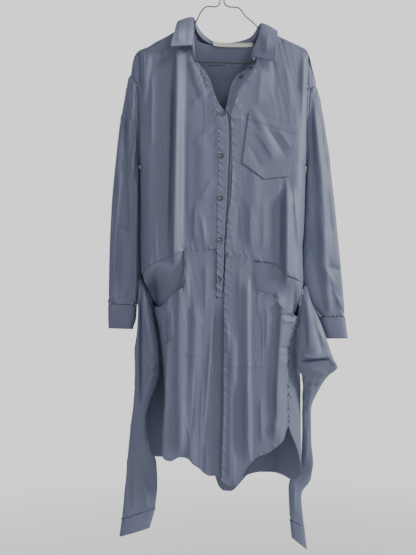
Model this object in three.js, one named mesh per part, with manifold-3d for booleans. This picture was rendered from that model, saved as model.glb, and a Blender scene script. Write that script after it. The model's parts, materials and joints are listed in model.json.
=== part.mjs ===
// Shirt dress on a wire hanger, in millimetres, +Z up, the front facing -Y.
// The origin is the inner top of the hanger's hook, where a rail carries it. Left and right in the
// tables are as seen from the front; in the pieces' names they are the wearer's own.
import * as THREE from "three";
import Module from "manifold-3d";

// Driving dimensions
const CLOTH = 1.2; // wall of one layer of shirting
const DOUBLE = 2; // wall of a cuff, two layers
const SEAM = 0.3; // gap left at every seam
const ROLL = 30; // how far in from the side edge the body rounds over
const YOKE_FRONT = 7; // how far the yoke comes forward below the shoulder ridge
const YOKE_BACK_Z = -235; // yoke seam across the back
const YOKE_END_DROP = 35; // yoke seam below the ridge where the shoulder falls away
const LAP = 2.2; // how far the buttonhole side lies in front of the button side
const LAP_RUN = 40; // width over which the front rises to that lap
const ARMHOLE_TOP = -262;
const ARMHOLE_FOOT = -476;
const ARMHOLE_HALF_DEPTH = 17;
const ARMHOLE_TOP_DEPTH = 4; // half depth that the armhole keeps at its top
const HIP_BACK_Z = -716; // hip seam across the back
const BAND_TOP = -240;
const BAND_FOOT = -784;
const PLEAT_DEPTH = 9; // how far the centre pleat's underlay lies behind the front
const PLEAT_UNDERLAP = 7; // how far the underlay runs on behind the other front
const POCKET_GAPE = 8; // hip pocket, front to bag
const POCKET_FOOT = -895; // foot of the hip pocket bags
const SIDE_DEPTH = 46; // where the right side seam lies in front of the middle
const BUTTON_RADIUS = 5.4;
const BUTTON_THICK = 2.4;
const WIRE_RADIUS = 1.5;
const HOOK_RADIUS = 20; // of the wire's centre line
const WIRE_SIDES = 6;
const UNDER_CLOTH = 1.4; // air between the wire and the cloth that it carries
const EDGE_HALF_DEPTH = 0.4; // half depth of the body where front and back are sewn together
const ARMHOLE_ROWS = 3; // rows of a sleeve over which it leaves the curve of the armhole
const ARMHOLE_GAP = 2.2; // how far the sleeve's seam stands off the body's side edge
const FOLD_FADE = 45; // height over which a long fold rises and dies away
const TUBE_FOLD_FADE = 1.2; // the same along a tube, in rows
const FRONT_FACE = -0.3; // share of the half depth from which a tube's folds stand out in front
const SKIRT_SIDE_DEPTH = 12; // where the left side seam of the skirt front lies
const HIP_SIDE_DEPTH = 30; // where the right side seam starts at the hip
const MOUTH_RIGHT_X = -88; // inner end of each pocket mouth
const MOUTH_LEFT_X = 72;
const MOUTH_FALL = 200; // height over which the panels even out below the mouths
const BAG_FALL = 70; // height over which the pocket bag swings out from the body
const BAG_SHIFT = 9; // how far the bag's form is carried outward from the skirt's
const SHOULDER_ROUND = 2.4; // how much lower the yoke lies before and behind the ridge
const YOKE_BACK_DROP = 8; // height that the yoke takes to turn from the ridge down the back
const YOKE_TURN = 9; // greatest depth of that turn
const BUTTON_BEVEL = 0.6;
const BUTTON_DISH = 0.5;
const BUTTON_RIM = 2;
const TRIM_SPREAD = 1.4 * SEAM; // how far a neighbour's edges are grown when it trims a piece

const COLOURS = { cloth: 0x6c7389, button: 0x2b2224, wire: 0x85878a, label: 0xe9e6dc };

function table(columns, rows) {
  const names = columns.split(" ");
  const list = rows.map((row) => Object.fromEntries(names.map((name, i) => [name, row[i]])));
  return list.sort((a, b) => a[names[0]] - b[names[0]]);
}

// Outline of the hanging body at each height: its left and right edges.
const SIDES = table("z left right", [
  [-130, -213.5, 221], [-262, -213.5, 221], [-276, -206, 221], [-286, -201, 219], [-305, -197, 203],
  [-323, -195, 198], [-394, -194, 197], [-476, -193, 197], [-558, -192, 195], [-640, -192, 191],
  [-675, -191.5, 188], [-733, -190, 190], [-752, -189, 191],
]);
// Ridge of the shoulders and, between them, the height that the neck would reach.
const SHOULDER = table("x z", [
  [-214, -262], [-209, -228], [-202, -212], [-193, -204], [-174, -197], [-157, -186], [-134, -174],
  [-103, -155], [-85, -143], [-76, -138], [-69, -134.5], [12, -124], [94, -151], [113, -160],
  [129, -169],
  [155, -182], [183, -195], [193, -200], [202, -209], [212, -247], [221.5, -284],
]);
// Edge of the neck round the back.
const NECK = table("x z", [
  [-69, -135], [-66, -154], [-54, -182], [-21, -190], [1, -193], [42, -194], [75, -193], [89, -170],
  [94, -151.5],
]);
// Half thickness of the hanging body, by the height below the shoulder ridge.
const THICKNESS = table("drop front back", [
  [0, 8, 8], [20, 11, 11], [60, 18, 16], [150, 32, 27], [300, 43, 37], [450, 51, 45], [560, 56, 50],
  [700, 60, 56], [900, 66, 64], [1080, 70, 70],
]);
// Seam of each front band, and the band's free edge.
const HOLE_SEAM = table("z x", [
  [-133, -73], [-195, -71], [-230, -69.5], [-238, -66], [-265, -49], [-292, -38], [-318, -27], [-343, -18],
  [-371, -12], [-442, -11], [-482, -10], [-537, -12], [-653, -13], [-784, -14],
]);
const HOLE_EDGE = table("z x", [
  [-240, -57], [-260, -40], [-283, -28], [-311, -19], [-337, -8], [-353, 4], [-362, 10], [-390, 14],
  [-443, 14], [-484, 12], [-549, 10], [-602, 7], [-655, 4], [-722, 2], [-784, -3],
]);
const BUTTON_SEAM = table("z x", [
  [-150, 94], [-195, 87], [-218, 83], [-251, 76], [-283, 57], [-306, 41], [-341, 27], [-364, 20], [-422, 23],
  [-491, 23], [-560, 20], [-595, 13], [-653, 9], [-676, 6], [-784, 2],
]);
const BUTTON_EDGE = table("z x turn", [
  [-238, 63, 18], [-253, 55, 18], [-262, 40, 17], [-281, 25, 14], [-311, 16, 8], [-344, 9, 4], [-362, 0, 0],
  [-397, -7, 0], [-559, -10, 0], [-784, -11, 0],
]);
const HIP_SEAM = table("x z", [
  [-190, -733], [-187, -729], [-171, -712], [-143, -699], [-106, -685], [-86, -677], [-15, -674], [6, -685],
  [41, -690], [75, -699], [126, -709], [144, -729], [172, -743], [192, -752],
]);

// Folds of the hanging cloth: where the crest runs, how wide each flank is and how far it stands out.
const FOLD_COLUMNS = "top foot topX midX footX leftRun rightRun rise";
const FRONT_FOLDS = table(FOLD_COLUMNS, [
  [-190, -720, -106, -108, -112, 5, 26, 12],
  [-204, -345, -80, -62, -40, 14, 16, 3],
  [-196, -345, -169, -176, -183, 9, 11, 3.5],
  [-206, -298, -193, -191, -188, 6, 9, 3],
  [-525, -768, 148, 147, 146, 7, 18, 9],
  [-330, -470, 62, 95, 128, 16, 18, 3],
  [-400, -690, -45, -48, -52, 22, 26, 3],
  [-470, -690, 75, 72, 66, 24, 24, 3],
]);
const SKIRT_FOLDS = table(FOLD_COLUMNS, [
  [-700, -1150, -96, -102, -98, 12, 26, 6],
  [-780, -1190, -62, -66, -72, 18, 20, 5],
  [-730, -1170, 58, 56, 62, 20, 9, 8],
  [-760, -1120, 138, 128, 118, 12, 24, 9],
  [-860, -1215, 24, 22, 18, 14, 18, 4],
]);
const BACK_FOLDS = table(FOLD_COLUMNS, [
  [-260, -715, 96, 104, 112, 24, 9, 8],
  [-300, -715, -120, -124, -118, 10, 24, 7],
  [-380, -715, -28, -34, -40, 24, 26, 5],
  [-420, -715, 38, 44, 40, 22, 22, 4],
]);
const SKIRT_BACK_FOLDS = table(FOLD_COLUMNS, [
  [-715, -1230, -118, -124, -130, 14, 28, 9],
  [-715, -1270, -40, -34, -20, 30, 22, 12],
  [-715, -1270, 40, 52, 66, 22, 30, -9],
  [-715, -1240, 112, 118, 128, 28, 14, 10],
]);

// Mouths of the hip pockets, from the side to the point on the skirt where the hip seam takes over.
const MOUTH_RIGHT = table("x z", [
  [-168, -788], [-163, -800], [-157, -807], [-143, -806], [-127, -795], [-115, -779], [-104, -770],
  [-88, -761],
]);
const MOUTH_LEFT = table("x z", [
  [74, -769], [98, -777], [121, -786], [134, -804], [155, -818], [174, -831],
]);
const MOUTH_STEP = 2; // width over which a skirt front rises from the mouth to the hip seam
const HEM_RIGHT = table("x z", [
  [-141, -1134], [-138, -1147], [-129, -1156], [-118, -1158], [-97, -1149], [-81, -1151], [-67, -1165],
  [-51, -1176], [-44, -1185], [-28, -1193], [12, -1190],
]);
const HEM_LEFT = table("x z", [
  [-8, -1189], [-1, -1203], [8, -1212], [24, -1215], [35, -1210], [45, -1196], [51, -1180], [63, -1164],
  [81, -1148], [104, -1139], [124, -1125], [138, -1112], [145, -1093], [151, -1080],
]);
// Skirt front, wearer's right: side edge, crest of its rounded edge and edge of the centre pleat.
const SKIRT_RIGHT = table("z side crest pleat", [
  [-660, -164, -115, -14.6], [-784, -164, -116, -15], [-815, -159, -118, -19], [-862, -148, -120, -23],
  [-908, -141, -124, -26], [-940, -137, -126, -28], [-1019, -134, -129, -33], [-1090, -138, -133, -40],
  [-1176, -143, -136, -47],
]);
// Skirt front, wearer's left: centre edge and side seam.
const SKIRT_LEFT = table("z centre side", [
  [-660, 8, 174], [-784, 3.4, 174], [-830, 3, 174], [-871, 3, 162], [-905, 2.5, 154], [-974, 2, 149],
  [-1019, 2, 149], [-1082, 0, 150], [-1110, -1, 150], [-1215, -3, 150],
]);
// Section of the skirt back at each height: side seam and outermost point at each side, middle depth.
const SKIRT_BACK = table("z seamLx seamLy outLx outLy depth outRx outRy seamRx seamRy", [
  [-715, -190, 0.7, -191, 4, 51, 190, 8, 191, 1.2],
  [-730, -190, 0.7, -191, 4, 52, 191, 6, 192, 1.2],
  [-752, -180, -4, -190, 3, 53, 191, 4, 192, 0.2],
  [-768, -174, -7, -189, 2, 54, 189, 2, 186, -12],
  [-790, -165, -11, -188, 2, 55, 187, 0, 181, -22],
  [-830, -158, -11.5, -187, 3, 57, 184, -5, 176.5, -36],
  [-871, -148, -11.5, -187, 4, 59, 182, -8, 165, -44],
  [-908, -141, -11.5, -187, 5, 61, 182, -10, 157, -45.5],
  [-974, -138, -11, -187, 6, 64, 183, -12, 152, -45.5],
  [-1082, -150, -8, -186, 8, 68, 184, -12, 153, -45],
  [-1169, -170, -4, -183, 10, 71, 185, -10, 160, -40],
  [-1260, -180, 4, -180, 16, 74, 185, -4, 170, -30],
]);
const BACK_HEM = table("u z", [
  [0, -935], [0.05, -990], [0.1, -1070], [0.15, -1133], [0.2, -1162], [0.27, -1169], [0.36, -1174],
  [0.42, -1190], [0.46, -1208], [0.475, -1222], [0.49, -1246], [0.51, -1256], [0.535, -1257], [0.56, -1244],
  [0.6, -1214], [0.66, -1209], [0.72, -1209], [0.78, -1219], [0.83, -1208], [0.88, -1180], [0.94, -1127],
  [1, -1084],
]);

// Tubes: outer and inner edge of each ring as seen from the front, the ring's middle depth and half depth.
const TUBE_COLUMNS = "row outX outZ inX inZ y half";
const SLEEVE_RIGHT = table(TUBE_COLUMNS, [
  [0, -213.5, -264, -193, -475, 0, 17],
  [1, -220, -272, -196, -482, 0, 18],
  [2, -225, -296, -197.5, -492, 0, 19],
  [3, -232, -335, -197.5, -506, -1, 19],
  [4, -242, -393, -197, -529, -2, 19],
  [5, -248, -452, -196.5, -557, -3, 18],
  [6, -254, -510, -196, -588, -4, 17],
  [7, -259, -569, -196, -623, -4, 16],
  [8, -263, -639, -196, -668, -3, 15],
  [9, -265, -703, -198, -714, -2, 15],
  [10, -266, -757, -200.5, -761, -1, 14],
  [11, -267, -801, -200, -803, 0, 13],
]);
const SLEEVE_LEFT = table(TUBE_COLUMNS, [
  [0, 221, -286, 197, -475, 0, 17],
  [1, 226, -300, 200, -484, 0, 18],
  [2, 230, -322, 201, -496, 0, 19],
  [3, 236, -360, 201, -512, 0, 19],
  [4, 242, -400, 200.5, -536, 0, 19],
  [5, 251, -452, 200, -564, 1, 18],
  [6, 258, -510, 198.5, -600, 1, 18],
  [7, 265, -569, 197, -640, 2, 17],
  [8, 272, -639, 195.5, -686, 2, 16],
  [9, 279, -710, 199.5, -738, 2, 15],
  [10, 284, -768, 206, -786, 2, 14],
  [11, 288, -831, 225, -832, 2, 13],
]);
const CUFF_RIGHT = table(TUBE_COLUMNS, [
  [0, -267, -801.6, -200, -803.6, 0, 13],
  [1, -267, -830, -202, -833, 0, 13],
  [2, -266, -858, -210, -860, 0, 12],
]);
const CUFF_LEFT = table(TUBE_COLUMNS, [
  [0, 288.5, -831.6, 225, -832.6, 2, 13],
  [1, 292, -858, 234, -858, 2, 13],
  [2, 295, -882, 241, -882, 2, 12],
]);
const TIE_RIGHT = table(TUBE_COLUMNS, [
  [0, -196.6, -736, -190.5, -736, -1.5, 2.2],
  [1, -196, -768, -179, -768, -14, 7],
  [2, -196, -815, -165, -815, -21, 9],
  [3, -198, -862, -153, -862, -24, 10],
  [4, -203, -908, -146, -908, -24, 10],
  [5, -202, -955, -145, -955, -24, 10],
  [6, -203, -990, -153, -990, -23, 10],
  [7, -206, -1030, -169, -1030, -22, 9],
  [8, -212, -1075, -177, -1070, -20, 9],
  [9, -218, -1130, -168, -1130, -18, 9],
  [10, -222, -1172, -153, -1172, -16, 9],
  [11, -227, -1235, -151, -1222, -14, 10],
  [12, -234, -1302, -156, -1276, -12, 10],
]);
const TIE_LEFT = table(TUBE_COLUMNS, [
  [0, 192.4, -755, 198, -756, -0.8, 2.2],
  [1, 188, -792, 205, -792, -34, 6],
  [2, 183, -850, 229, -850, -50, 8],
  [3, 177, -897, 245, -897, -54, 9],
  [4, 174, -925, 255, -925, -55, 10],
  [5, 178, -946, 264, -946, -50, 10],
  [6, 188, -967, 244, -967, -40, 10],
  [7, 187.5, -1000, 224, -1000, -28, 9],
  [8, 187.5, -1048, 208, -1048, -14, 8],
  [9, 188, -1118, 210, -1118, 4, 8],
  [10, 188, -1177, 217, -1180, 26, 8],
  [11, 170, -1208, 213, -1222, 46, 8],
  [12, 160, -1245, 191, -1262, 48, 9],
  [13, 163, -1320, 197, -1336, 48, 9],
]);
const TIE_CUFF_RIGHT = table(TUBE_COLUMNS, [
  [0, -234.5, -1303, -156, -1276.7, -12, 10], [1, -240, -1344, -169, -1323, -12, 9],
]);
const TIE_CUFF_LEFT = table(TUBE_COLUMNS, [
  [0, 163, -1320.7, 197.5, -1336.7, 48, 9], [1, 168, -1362, 204, -1390, 48, 8],
]);
// Folds along a tube's front: rows that it runs over, place across (-1 outer, 1 inner), half width, rise.
const TUBE_FOLD_COLUMNS = "from to across width rise";
const SLEEVE_RIGHT_FOLDS = table(TUBE_FOLD_COLUMNS, [
  [0.5, 5, 0.35, 0.28, 4], [4, 11, 0.72, 0.25, 4], [5, 10, -0.55, 0.25, 3],
]);
const SLEEVE_LEFT_FOLDS = table(TUBE_FOLD_COLUMNS, [[1, 9, -0.3, 0.4, 4], [7, 11, -0.1, 0.3, 5]]);
const TIE_RIGHT_FOLDS = table(TUBE_FOLD_COLUMNS, [[0.5, 7.5, 0.35, 0.6, 6]]);
const TIE_LEFT_FOLDS = table(TUBE_FOLD_COLUMNS, [[0.5, 4.6, 0, 0.9, 7]]);

// Collar, station by station from the left front round the back to the right front: the neck seam, the
// fold line and the edge of the leaf.
const COLLAR = table("s nx ny nz fx fy fz lx ly lz", [
  [0, -64, -27, -236, -69, -33, -201, -119, -36, -209],
  [1, -67, -21, -190, -66, -29, -164, -111, -32, -176],
  [2, -66.5, -3, -133, -67, -4, -129.5, -103, -5, -139],
  [2.5, -63, 6, -150, -60, 9, -143, -98, 14, -153],
  [3, -56, 10, -166, -46, 21, -161, -88, 36, -196],
  [4, -29, 17, -186, -20, 32, -178, -32, 46, -258],
  [5, 1, 19, -189, 1, 35, -181, 1, 48, -268],
  [6, 42, 18, -190, 40, 32, -178, 50, 46, -262],
  [7, 76, 13, -179, 70, 22, -168, 116, 38, -196],
  [8, 92, -3, -147, 90.5, -4, -143, 129, -4, -161],
  [9, 85, -18, -192, 83, -26, -184, 127, -31, -204],
  [10, 75.5, -21, -236, 66, -28, -226, 123, -36, -243],
]);
const CHEST_POCKET = {
  topLeft: [61, -357], topRight: [179, -392], footRight: [153, -507], foot: [95, -513],
  footLeft: [45, -475],
};
const CLOSED_BUTTONS = [[3, -360], [-1, -459], [-3, -557], [-4, -652], [-6, -743]];
const OPEN_BUTTONS = [[68, -247], [46, -271]];
// Neck label: its ends, and its top and foot from the edge of the neck.
const LABEL = { left: -21, right: 73, top: 9, foot: -1, thick: 1, slack: 0.5 };

// Reads one column of a table at a key, on a smooth curve that never overshoots its rows.
function read(rows, at, column) {
  const key = Object.keys(rows[0])[0];
  const last = rows.length - 1;
  if (at <= rows[0][key]) return rows[0][column];
  if (at >= rows[last][key]) return rows[last][column];
  let i = 0;
  while (rows[i + 1][key] < at) i += 1;
  const rise = (k) => (rows[k + 1][column] - rows[k][column]) / (rows[k + 1][key] - rows[k][key]);
  const tangent = (k) => {
    if (k === 0) return rise(0);
    if (k === last) return rise(last - 1);
    const before = rise(k - 1);
    const after = rise(k);
    return before * after <= 0 ? 0 : (2 * before * after) / (before + after);
  };
  const h = rows[i + 1][key] - rows[i][key];
  const t = (at - rows[i][key]) / h;
  const a = (1 + 2 * t) * (1 - t) ** 2;
  const b = t * (1 - t) ** 2;
  const c = t * t * (3 - 2 * t);
  const d = t * t * (t - 1);
  return a * rows[i][column] + b * h * tangent(i) + c * rows[i + 1][column] + d * h * tangent(i + 1);
}

const mix = (a, b, t) => a + (b - a) * t;
const clamp = (t) => Math.min(1, Math.max(0, t));
const smooth = (t) => clamp(t) ** 2 * (3 - 2 * clamp(t));
const round = (t) => Math.sqrt(1 - (1 - clamp(t)) ** 2);

// How far the folds of a table stand out at one place.
function folds(rows, x, z) {
  return rows.reduce((sum, f) => {
    const t = (f.top - z) / (f.top - f.foot);
    const crest = mix(mix(f.topX, f.midX, t), mix(f.midX, f.footX, t), t);
    const away = x - crest;
    const flank = smooth(1 - (away < 0 ? -away / f.leftRun : away / f.rightRun));
    return sum + f.rise * flank * smooth((f.top - z) / FOLD_FADE) * smooth((z - f.foot) / FOLD_FADE);
  }, 0);
}

const shoulderZ = (x) => read(SHOULDER, x, "z");
const hipZ = (x) => read(HIP_SEAM, x, "z");
const slant = (line, at) => SEAM * Math.hypot(1, (line(at + 1) - line(at - 1)) / 2);
const yokeFootZ = (x) => Math.min(YOKE_BACK_Z, shoulderZ(x) - YOKE_END_DROP);

// Half depth of the armhole, which the side edges of the fronts and back leave open.
function armholeDepth(z) {
  const t = (2 * (z - ARMHOLE_FOOT)) / (ARMHOLE_TOP - ARMHOLE_FOOT) - 1;
  if (t <= -1) return EDGE_HALF_DEPTH;
  const rounded = ARMHOLE_HALF_DEPTH * (1 - Math.min(1, Math.abs(t)) ** 3) ** (1 / 3);
  return Math.max(EDGE_HALF_DEPTH, t > 0 ? ARMHOLE_TOP_DEPTH : 0, rounded);
}

function bodyDepth(x, z, side) {
  const full = read(THICKNESS, shoulderZ(x) - z, side);
  const edge = Math.min(armholeDepth(z), full);
  const inset = Math.min(x - read(SIDES, z, "left"), read(SIDES, z, "right") - x);
  return edge + (full - edge) * round(inset / ROLL);
}

const lap = (x, z) => LAP * smooth(1 - (read(HOLE_SEAM, z, "x") - x) / LAP_RUN);
const frontY = (x, z) => -bodyDepth(x, z, "front") - folds(FRONT_FOLDS, x, z) * round((x + 190) / 12);
const frontRightY = (x, z) => frontY(x, z) - lap(x, z);
const backY = (x, z) => bodyDepth(x, z, "back") + folds(BACK_FOLDS, x, z);

function buttonBandY(x, z) {
  const edge = read(BUTTON_EDGE, z, "x");
  const seam = read(BUTTON_SEAM, z, "x");
  return frontY(x, z) + read(BUTTON_EDGE, z, "turn") * smooth((seam - x) / (seam - edge));
}

function skirtDepth(x, z) {
  return read(THICKNESS, -130 - z, "front") + folds(SKIRT_FOLDS, x, z);
}

function skirtRightY(x, z) {
  const side = read(SKIRT_RIGHT, z, "side");
  const crest = read(SKIRT_RIGHT, z, "crest");
  const depth = mix(SKIRT_SIDE_DEPTH, skirtDepth(x, z), round((x - side) / (crest - side)));
  const behind = x > read(SKIRT_RIGHT, z, "pleat") + 0.7;
  return -depth + (behind ? PLEAT_DEPTH + folds(SKIRT_FOLDS, x, z) : 0);
}

function skirtLeftY(x, z) {
  const edge = mix(HIP_SIDE_DEPTH, SIDE_DEPTH, smooth((z + 700) / -170));
  return -mix(edge, skirtDepth(x, z), round((read(SKIRT_LEFT, z, "side") - x) / ROLL));
}

// The outer surface of a wall as a grid of points, then both faces and the edges of the wall. lift moves
// it out along its normal, facing turns the side that counts as outside, ring joins the first column to
// the last, spread moves the edges outward within the surface.
function wall(name, surface, options) {
  const { thick = CLOTH, lift = 0, facing = 1, ring = false, spread = 0, colour = "cloth" } = options;
  const columns = surface.length;
  const rows = surface[0].length;
  const wrap = (i) => (ring ? (i + columns) % columns : Math.min(columns - 1, Math.max(0, i)));
  const point = (i, j) => surface[wrap(i)][Math.min(rows - 1, Math.max(0, j))];
  const normal = (i, j) => {
    const across = point(i + 1, j).clone().sub(point(i - 1, j));
    const along = point(i, j + 1).clone().sub(point(i, j - 1));
    return across.cross(along).normalize().multiplyScalar(facing);
  };
  const outward = (i, j) => {
    const way = new THREE.Vector3();
    if (!ring && i === 0) way.add(point(0, j).clone().sub(point(1, j)).normalize());
    if (!ring && i === columns - 1) way.add(point(i, j).clone().sub(point(i - 1, j)).normalize());
    if (j === 0) way.add(point(i, 0).clone().sub(point(i, 1)).normalize());
    if (j === rows - 1) way.add(point(i, j).clone().sub(point(i, j - 1)).normalize());
    return way;
  };
  const vertices = [];
  for (const move of [lift, lift - thick]) {
    for (let i = 0; i < columns; i += 1) {
      for (let j = 0; j < rows; j += 1) {
        const at = point(i, j).clone().addScaledVector(normal(i, j), move);
        vertices.push(spread ? at.addScaledVector(outward(i, j), spread) : at);
      }
    }
  }
  const outer = (i, j) => wrap(i) * rows + j;
  const inner = (i, j) => columns * rows + outer(i, j);
  const faces = [];
  const quad = (a, b, c, d) => faces.push(...(facing > 0 ? [a, b, c, a, c, d] : [a, c, b, a, d, c]));
  const spans = ring ? columns : columns - 1;
  for (let i = 0; i < spans; i += 1) {
    for (let j = 0; j < rows - 1; j += 1) {
      quad(outer(i, j), outer(i + 1, j), outer(i + 1, j + 1), outer(i, j + 1));
      quad(inner(i, j), inner(i, j + 1), inner(i + 1, j + 1), inner(i + 1, j));
    }
    quad(outer(i, 0), inner(i, 0), inner(i + 1, 0), outer(i + 1, 0));
    quad(outer(i, rows - 1), outer(i + 1, rows - 1), inner(i + 1, rows - 1), inner(i, rows - 1));
  }
  if (!ring) {
    for (let j = 0; j < rows - 1; j += 1) {
      quad(outer(0, j), outer(0, j + 1), inner(0, j + 1), inner(0, j));
      const end = columns - 1;
      quad(outer(end, j), inner(end, j), inner(end, j + 1), outer(end, j + 1));
    }
  }
  const geometry = new THREE.BufferGeometry().setFromPoints(vertices).setIndex(faces);
  geometry.computeVertexNormals();
  return piece(name, geometry, colour, 0.85, 0);
}

function piece(name, geometry, colour, roughness, metalness) {
  const material = new THREE.MeshStandardMaterial({ color: COLOURS[colour], roughness, metalness });
  const mesh = new THREE.Mesh(geometry, material);
  mesh.name = name;
  return mesh;
}

const steps = (count) => Array.from({ length: count + 1 }, (_, i) => i / count);

// Where a straight run through the knots [u, x] lies at u.
function along(knots, u) {
  let i = 0;
  while (i < knots.length - 2 && knots[i + 1][0] < u) i += 1;
  const [u0, x0] = knots[i];
  const [u1, x1] = knots[i + 1];
  return mix(x0, x1, clamp((u - u0) / (u1 - u0)));
}

// The height at which the column u of a panel meets a line z(x).
function meet(across, line, u) {
  let low = -1400;
  let high = 0;
  for (let i = 0; i < 40; i += 1) {
    const middle = (low + high) / 2;
    if (middle < line(across(u, middle))) low = middle;
    else high = middle;
  }
  return (low + high) / 2;
}

// A panel hung as one surface y(x, z), between a top and a foot line.
function panel({ columns, rows, across, top, foot, y }) {
  return columns.map((u) => {
    const head = meet(across, top, u);
    const tail = meet(across, foot, u);
    return steps(rows).map((v) => {
      const z = mix(head, tail, v);
      const x = across(u, z);
      return new THREE.Vector3(x, y(x, z), z);
    });
  });
}

// Section of the yoke at x: over the ridge from the front edge, then down to the seam across the back.
function yokeSection(x, foot) {
  const ridge = shoulderZ(x);
  const front = -bodyDepth(x, ridge - YOKE_FRONT, "front");
  const back = Math.min(YOKE_TURN, bodyDepth(x, ridge - YOKE_BACK_DROP, "back"));
  return [[front, ridge - YOKE_FRONT], [front * 0.68, ridge - SHOULDER_ROUND], [0, ridge],
    [back * 0.6, ridge - SHOULDER_ROUND], [back, ridge - YOKE_BACK_DROP], [bodyDepth(x, foot, "back"), foot]];
}

function yokeBackY(x, z) {
  const [top, foot] = yokeSection(x, YOKE_BACK_Z).slice(-2);
  return mix(top[0], foot[0], (z - top[1]) / (foot[1] - top[1]));
}

function yoke() {
  const across = (u, z) => mix(read(SIDES, z, "left"), read(SIDES, z, "right"), u);
  const columns = [0, 0.02, 0.045, 0.08, 0.14, 0.2, 0.26, 0.3, 0.331, 0.334, 0.345, 0.366, 0.44, 0.5, 0.58,
    0.66, 0.69, 0.705, 0.7065, 0.7095, 0.74, 0.78, 0.83, 0.88, 0.93, 0.955, 0.98, 1];
  return columns.map((u) => {
    const ridge = meet(across, shoulderZ, u);
    const x0 = across(u, ridge);
    const path = yokeSection(x0, meet(across, yokeFootZ, u) + SEAM);
    const reach = [0];
    for (let i = 1; i < path.length; i += 1) {
      reach.push(reach[i - 1] + Math.hypot(path[i][0] - path[i - 1][0], path[i][1] - path[i - 1][1]));
    }
    const whole = reach.at(-1);
    const inNeck = x0 > NECK[0].x && x0 < NECK.at(-1).x;
    const neck = (read(NECK, x0, "z") - path[4][1]) / (path[5][1] - path[4][1]);
    const start = inNeck ? Math.max(reach[3], mix(reach[4], whole, neck)) / whole : 0;
    const turned = reach.slice(1, 5).map((r) => r / whole);
    const places = [0, ...turned, ...[1, 2, 3].map((k) => mix(turned[3], 1, k / 3))];
    return places.map((place) => {
      const r = mix(start, 1, place) * whole;
      const y = along(reach.map((at, i) => [at, path[i][0]]), r);
      const z = along(reach.map((at, i) => [at, path[i][1]]), r);
      return new THREE.Vector3(across(u, z), y, z);
    });
  });
}

function tube(rows, foldRows, sides, perRow, edge) {
  const last = rows.length - 1;
  const count = Math.round(last * perRow);
  return steps(sides).slice(0, -1).map((turn) => {
    const angle = turn * 2 * Math.PI;
    const power = 2 / 3;
    const side = Math.sign(Math.cos(angle)) * Math.abs(Math.cos(angle)) ** power;
    const face = Math.sign(Math.sin(angle)) * Math.abs(Math.sin(angle)) ** power;
    return steps(count).map((v) => {
      const row = v * last;
      const get = (column) => read(rows, row, column);
      const t = (1 + side) / 2;
      const z = mix(get("outZ"), get("inZ"), t);
      const start = rows[0];
      const seam = edge ? edge(mix(start.outZ, start.inZ, t)) - mix(start.outX, start.inX, t) : 0;
      const x = mix(get("outX"), get("inX"), t) + seam * (1 - smooth(row / ARMHOLE_ROWS));
      const rise = foldRows.reduce((sum, f) => {
        const fade = smooth((row - f.from) / TUBE_FOLD_FADE) * smooth((f.to - row) / TUBE_FOLD_FADE);
        return sum + f.rise * fade * smooth(1 - Math.abs(side - f.across) / f.width);
      }, 0);
      const y = get("y") + get("half") * face - (face < FRONT_FACE ? rise : 0);
      return new THREE.Vector3(x, y, z);
    });
  });
}

function wire(name, points, stepCount) {
  const outline = new THREE.Shape(
    steps(WIRE_SIDES).slice(0, -1).map((t) => {
      const angle = t * 2 * Math.PI;
      return new THREE.Vector2(WIRE_RADIUS * Math.cos(angle), WIRE_RADIUS * Math.sin(angle));
    }),
  );
  const stations = points.map(([x, z]) => new THREE.Vector3(x, 0, z));
  const extrudePath = new THREE.CatmullRomCurve3(stations, false, "centripetal");
  const geometry = new THREE.ExtrudeGeometry(outline, { steps: stepCount, bevelEnabled: false, extrudePath });
  return piece(name, geometry, "wire", 0.35, 0.9);
}

// A button laid on the cloth at x, z, its rim side out.
function button(name, ground, x, z) {
  const rim = BUTTON_RADIUS;
  const half = BUTTON_THICK / 2;
  const dish = half - BUTTON_DISH;
  const profile = [[0, -half], [rim - BUTTON_BEVEL, -half], [rim, -half + BUTTON_BEVEL],
    [rim, half - BUTTON_BEVEL], [rim - 0.8, half], [rim - BUTTON_RIM, dish], [0, dish]];
  const geometry = new THREE.LatheGeometry(profile.map(([r, h]) => new THREE.Vector2(r, h)), 10);
  const mesh = piece(name, geometry, "button", 0.4, 0);
  const { point, normal } = onFront(ground, x, z);
  mesh.quaternion.setFromUnitVectors(new THREE.Vector3(0, 1, 0), normal);
  mesh.position.copy(point).addScaledVector(normal, half + 2 * SEAM);
  return mesh;
}

// The front of a mesh where a line along Y at x, z meets it: its point and the way that it faces.
function onFront(mesh, x, z) {
  mesh.updateMatrixWorld(true);
  const ray = new THREE.Raycaster(new THREE.Vector3(x, -500, z), new THREE.Vector3(0, 1, 0));
  const hit = ray.intersectObject(mesh)[0];
  return { point: hit.point, normal: hit.face.normal };
}

const wasm = await Module();
wasm.setup();

function solid(mesh) {
  const vertProperties = new Float32Array(mesh.geometry.getAttribute("position").array);
  const triVerts = new Uint32Array(mesh.geometry.index.array);
  return new wasm.Manifold(new wasm.Mesh({ numProp: 3, vertProperties, triVerts }));
}

// A piece of cloth as its surface and its wall, so that a neighbour can be trimmed to its edge.
const cloths = new Map();
const sew = (name, surface, options) => {
  const mesh = wall(name, surface, options);
  cloths.set(name, { surface, options, mesh });
  dress.add(mesh);
  return mesh;
};

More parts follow.
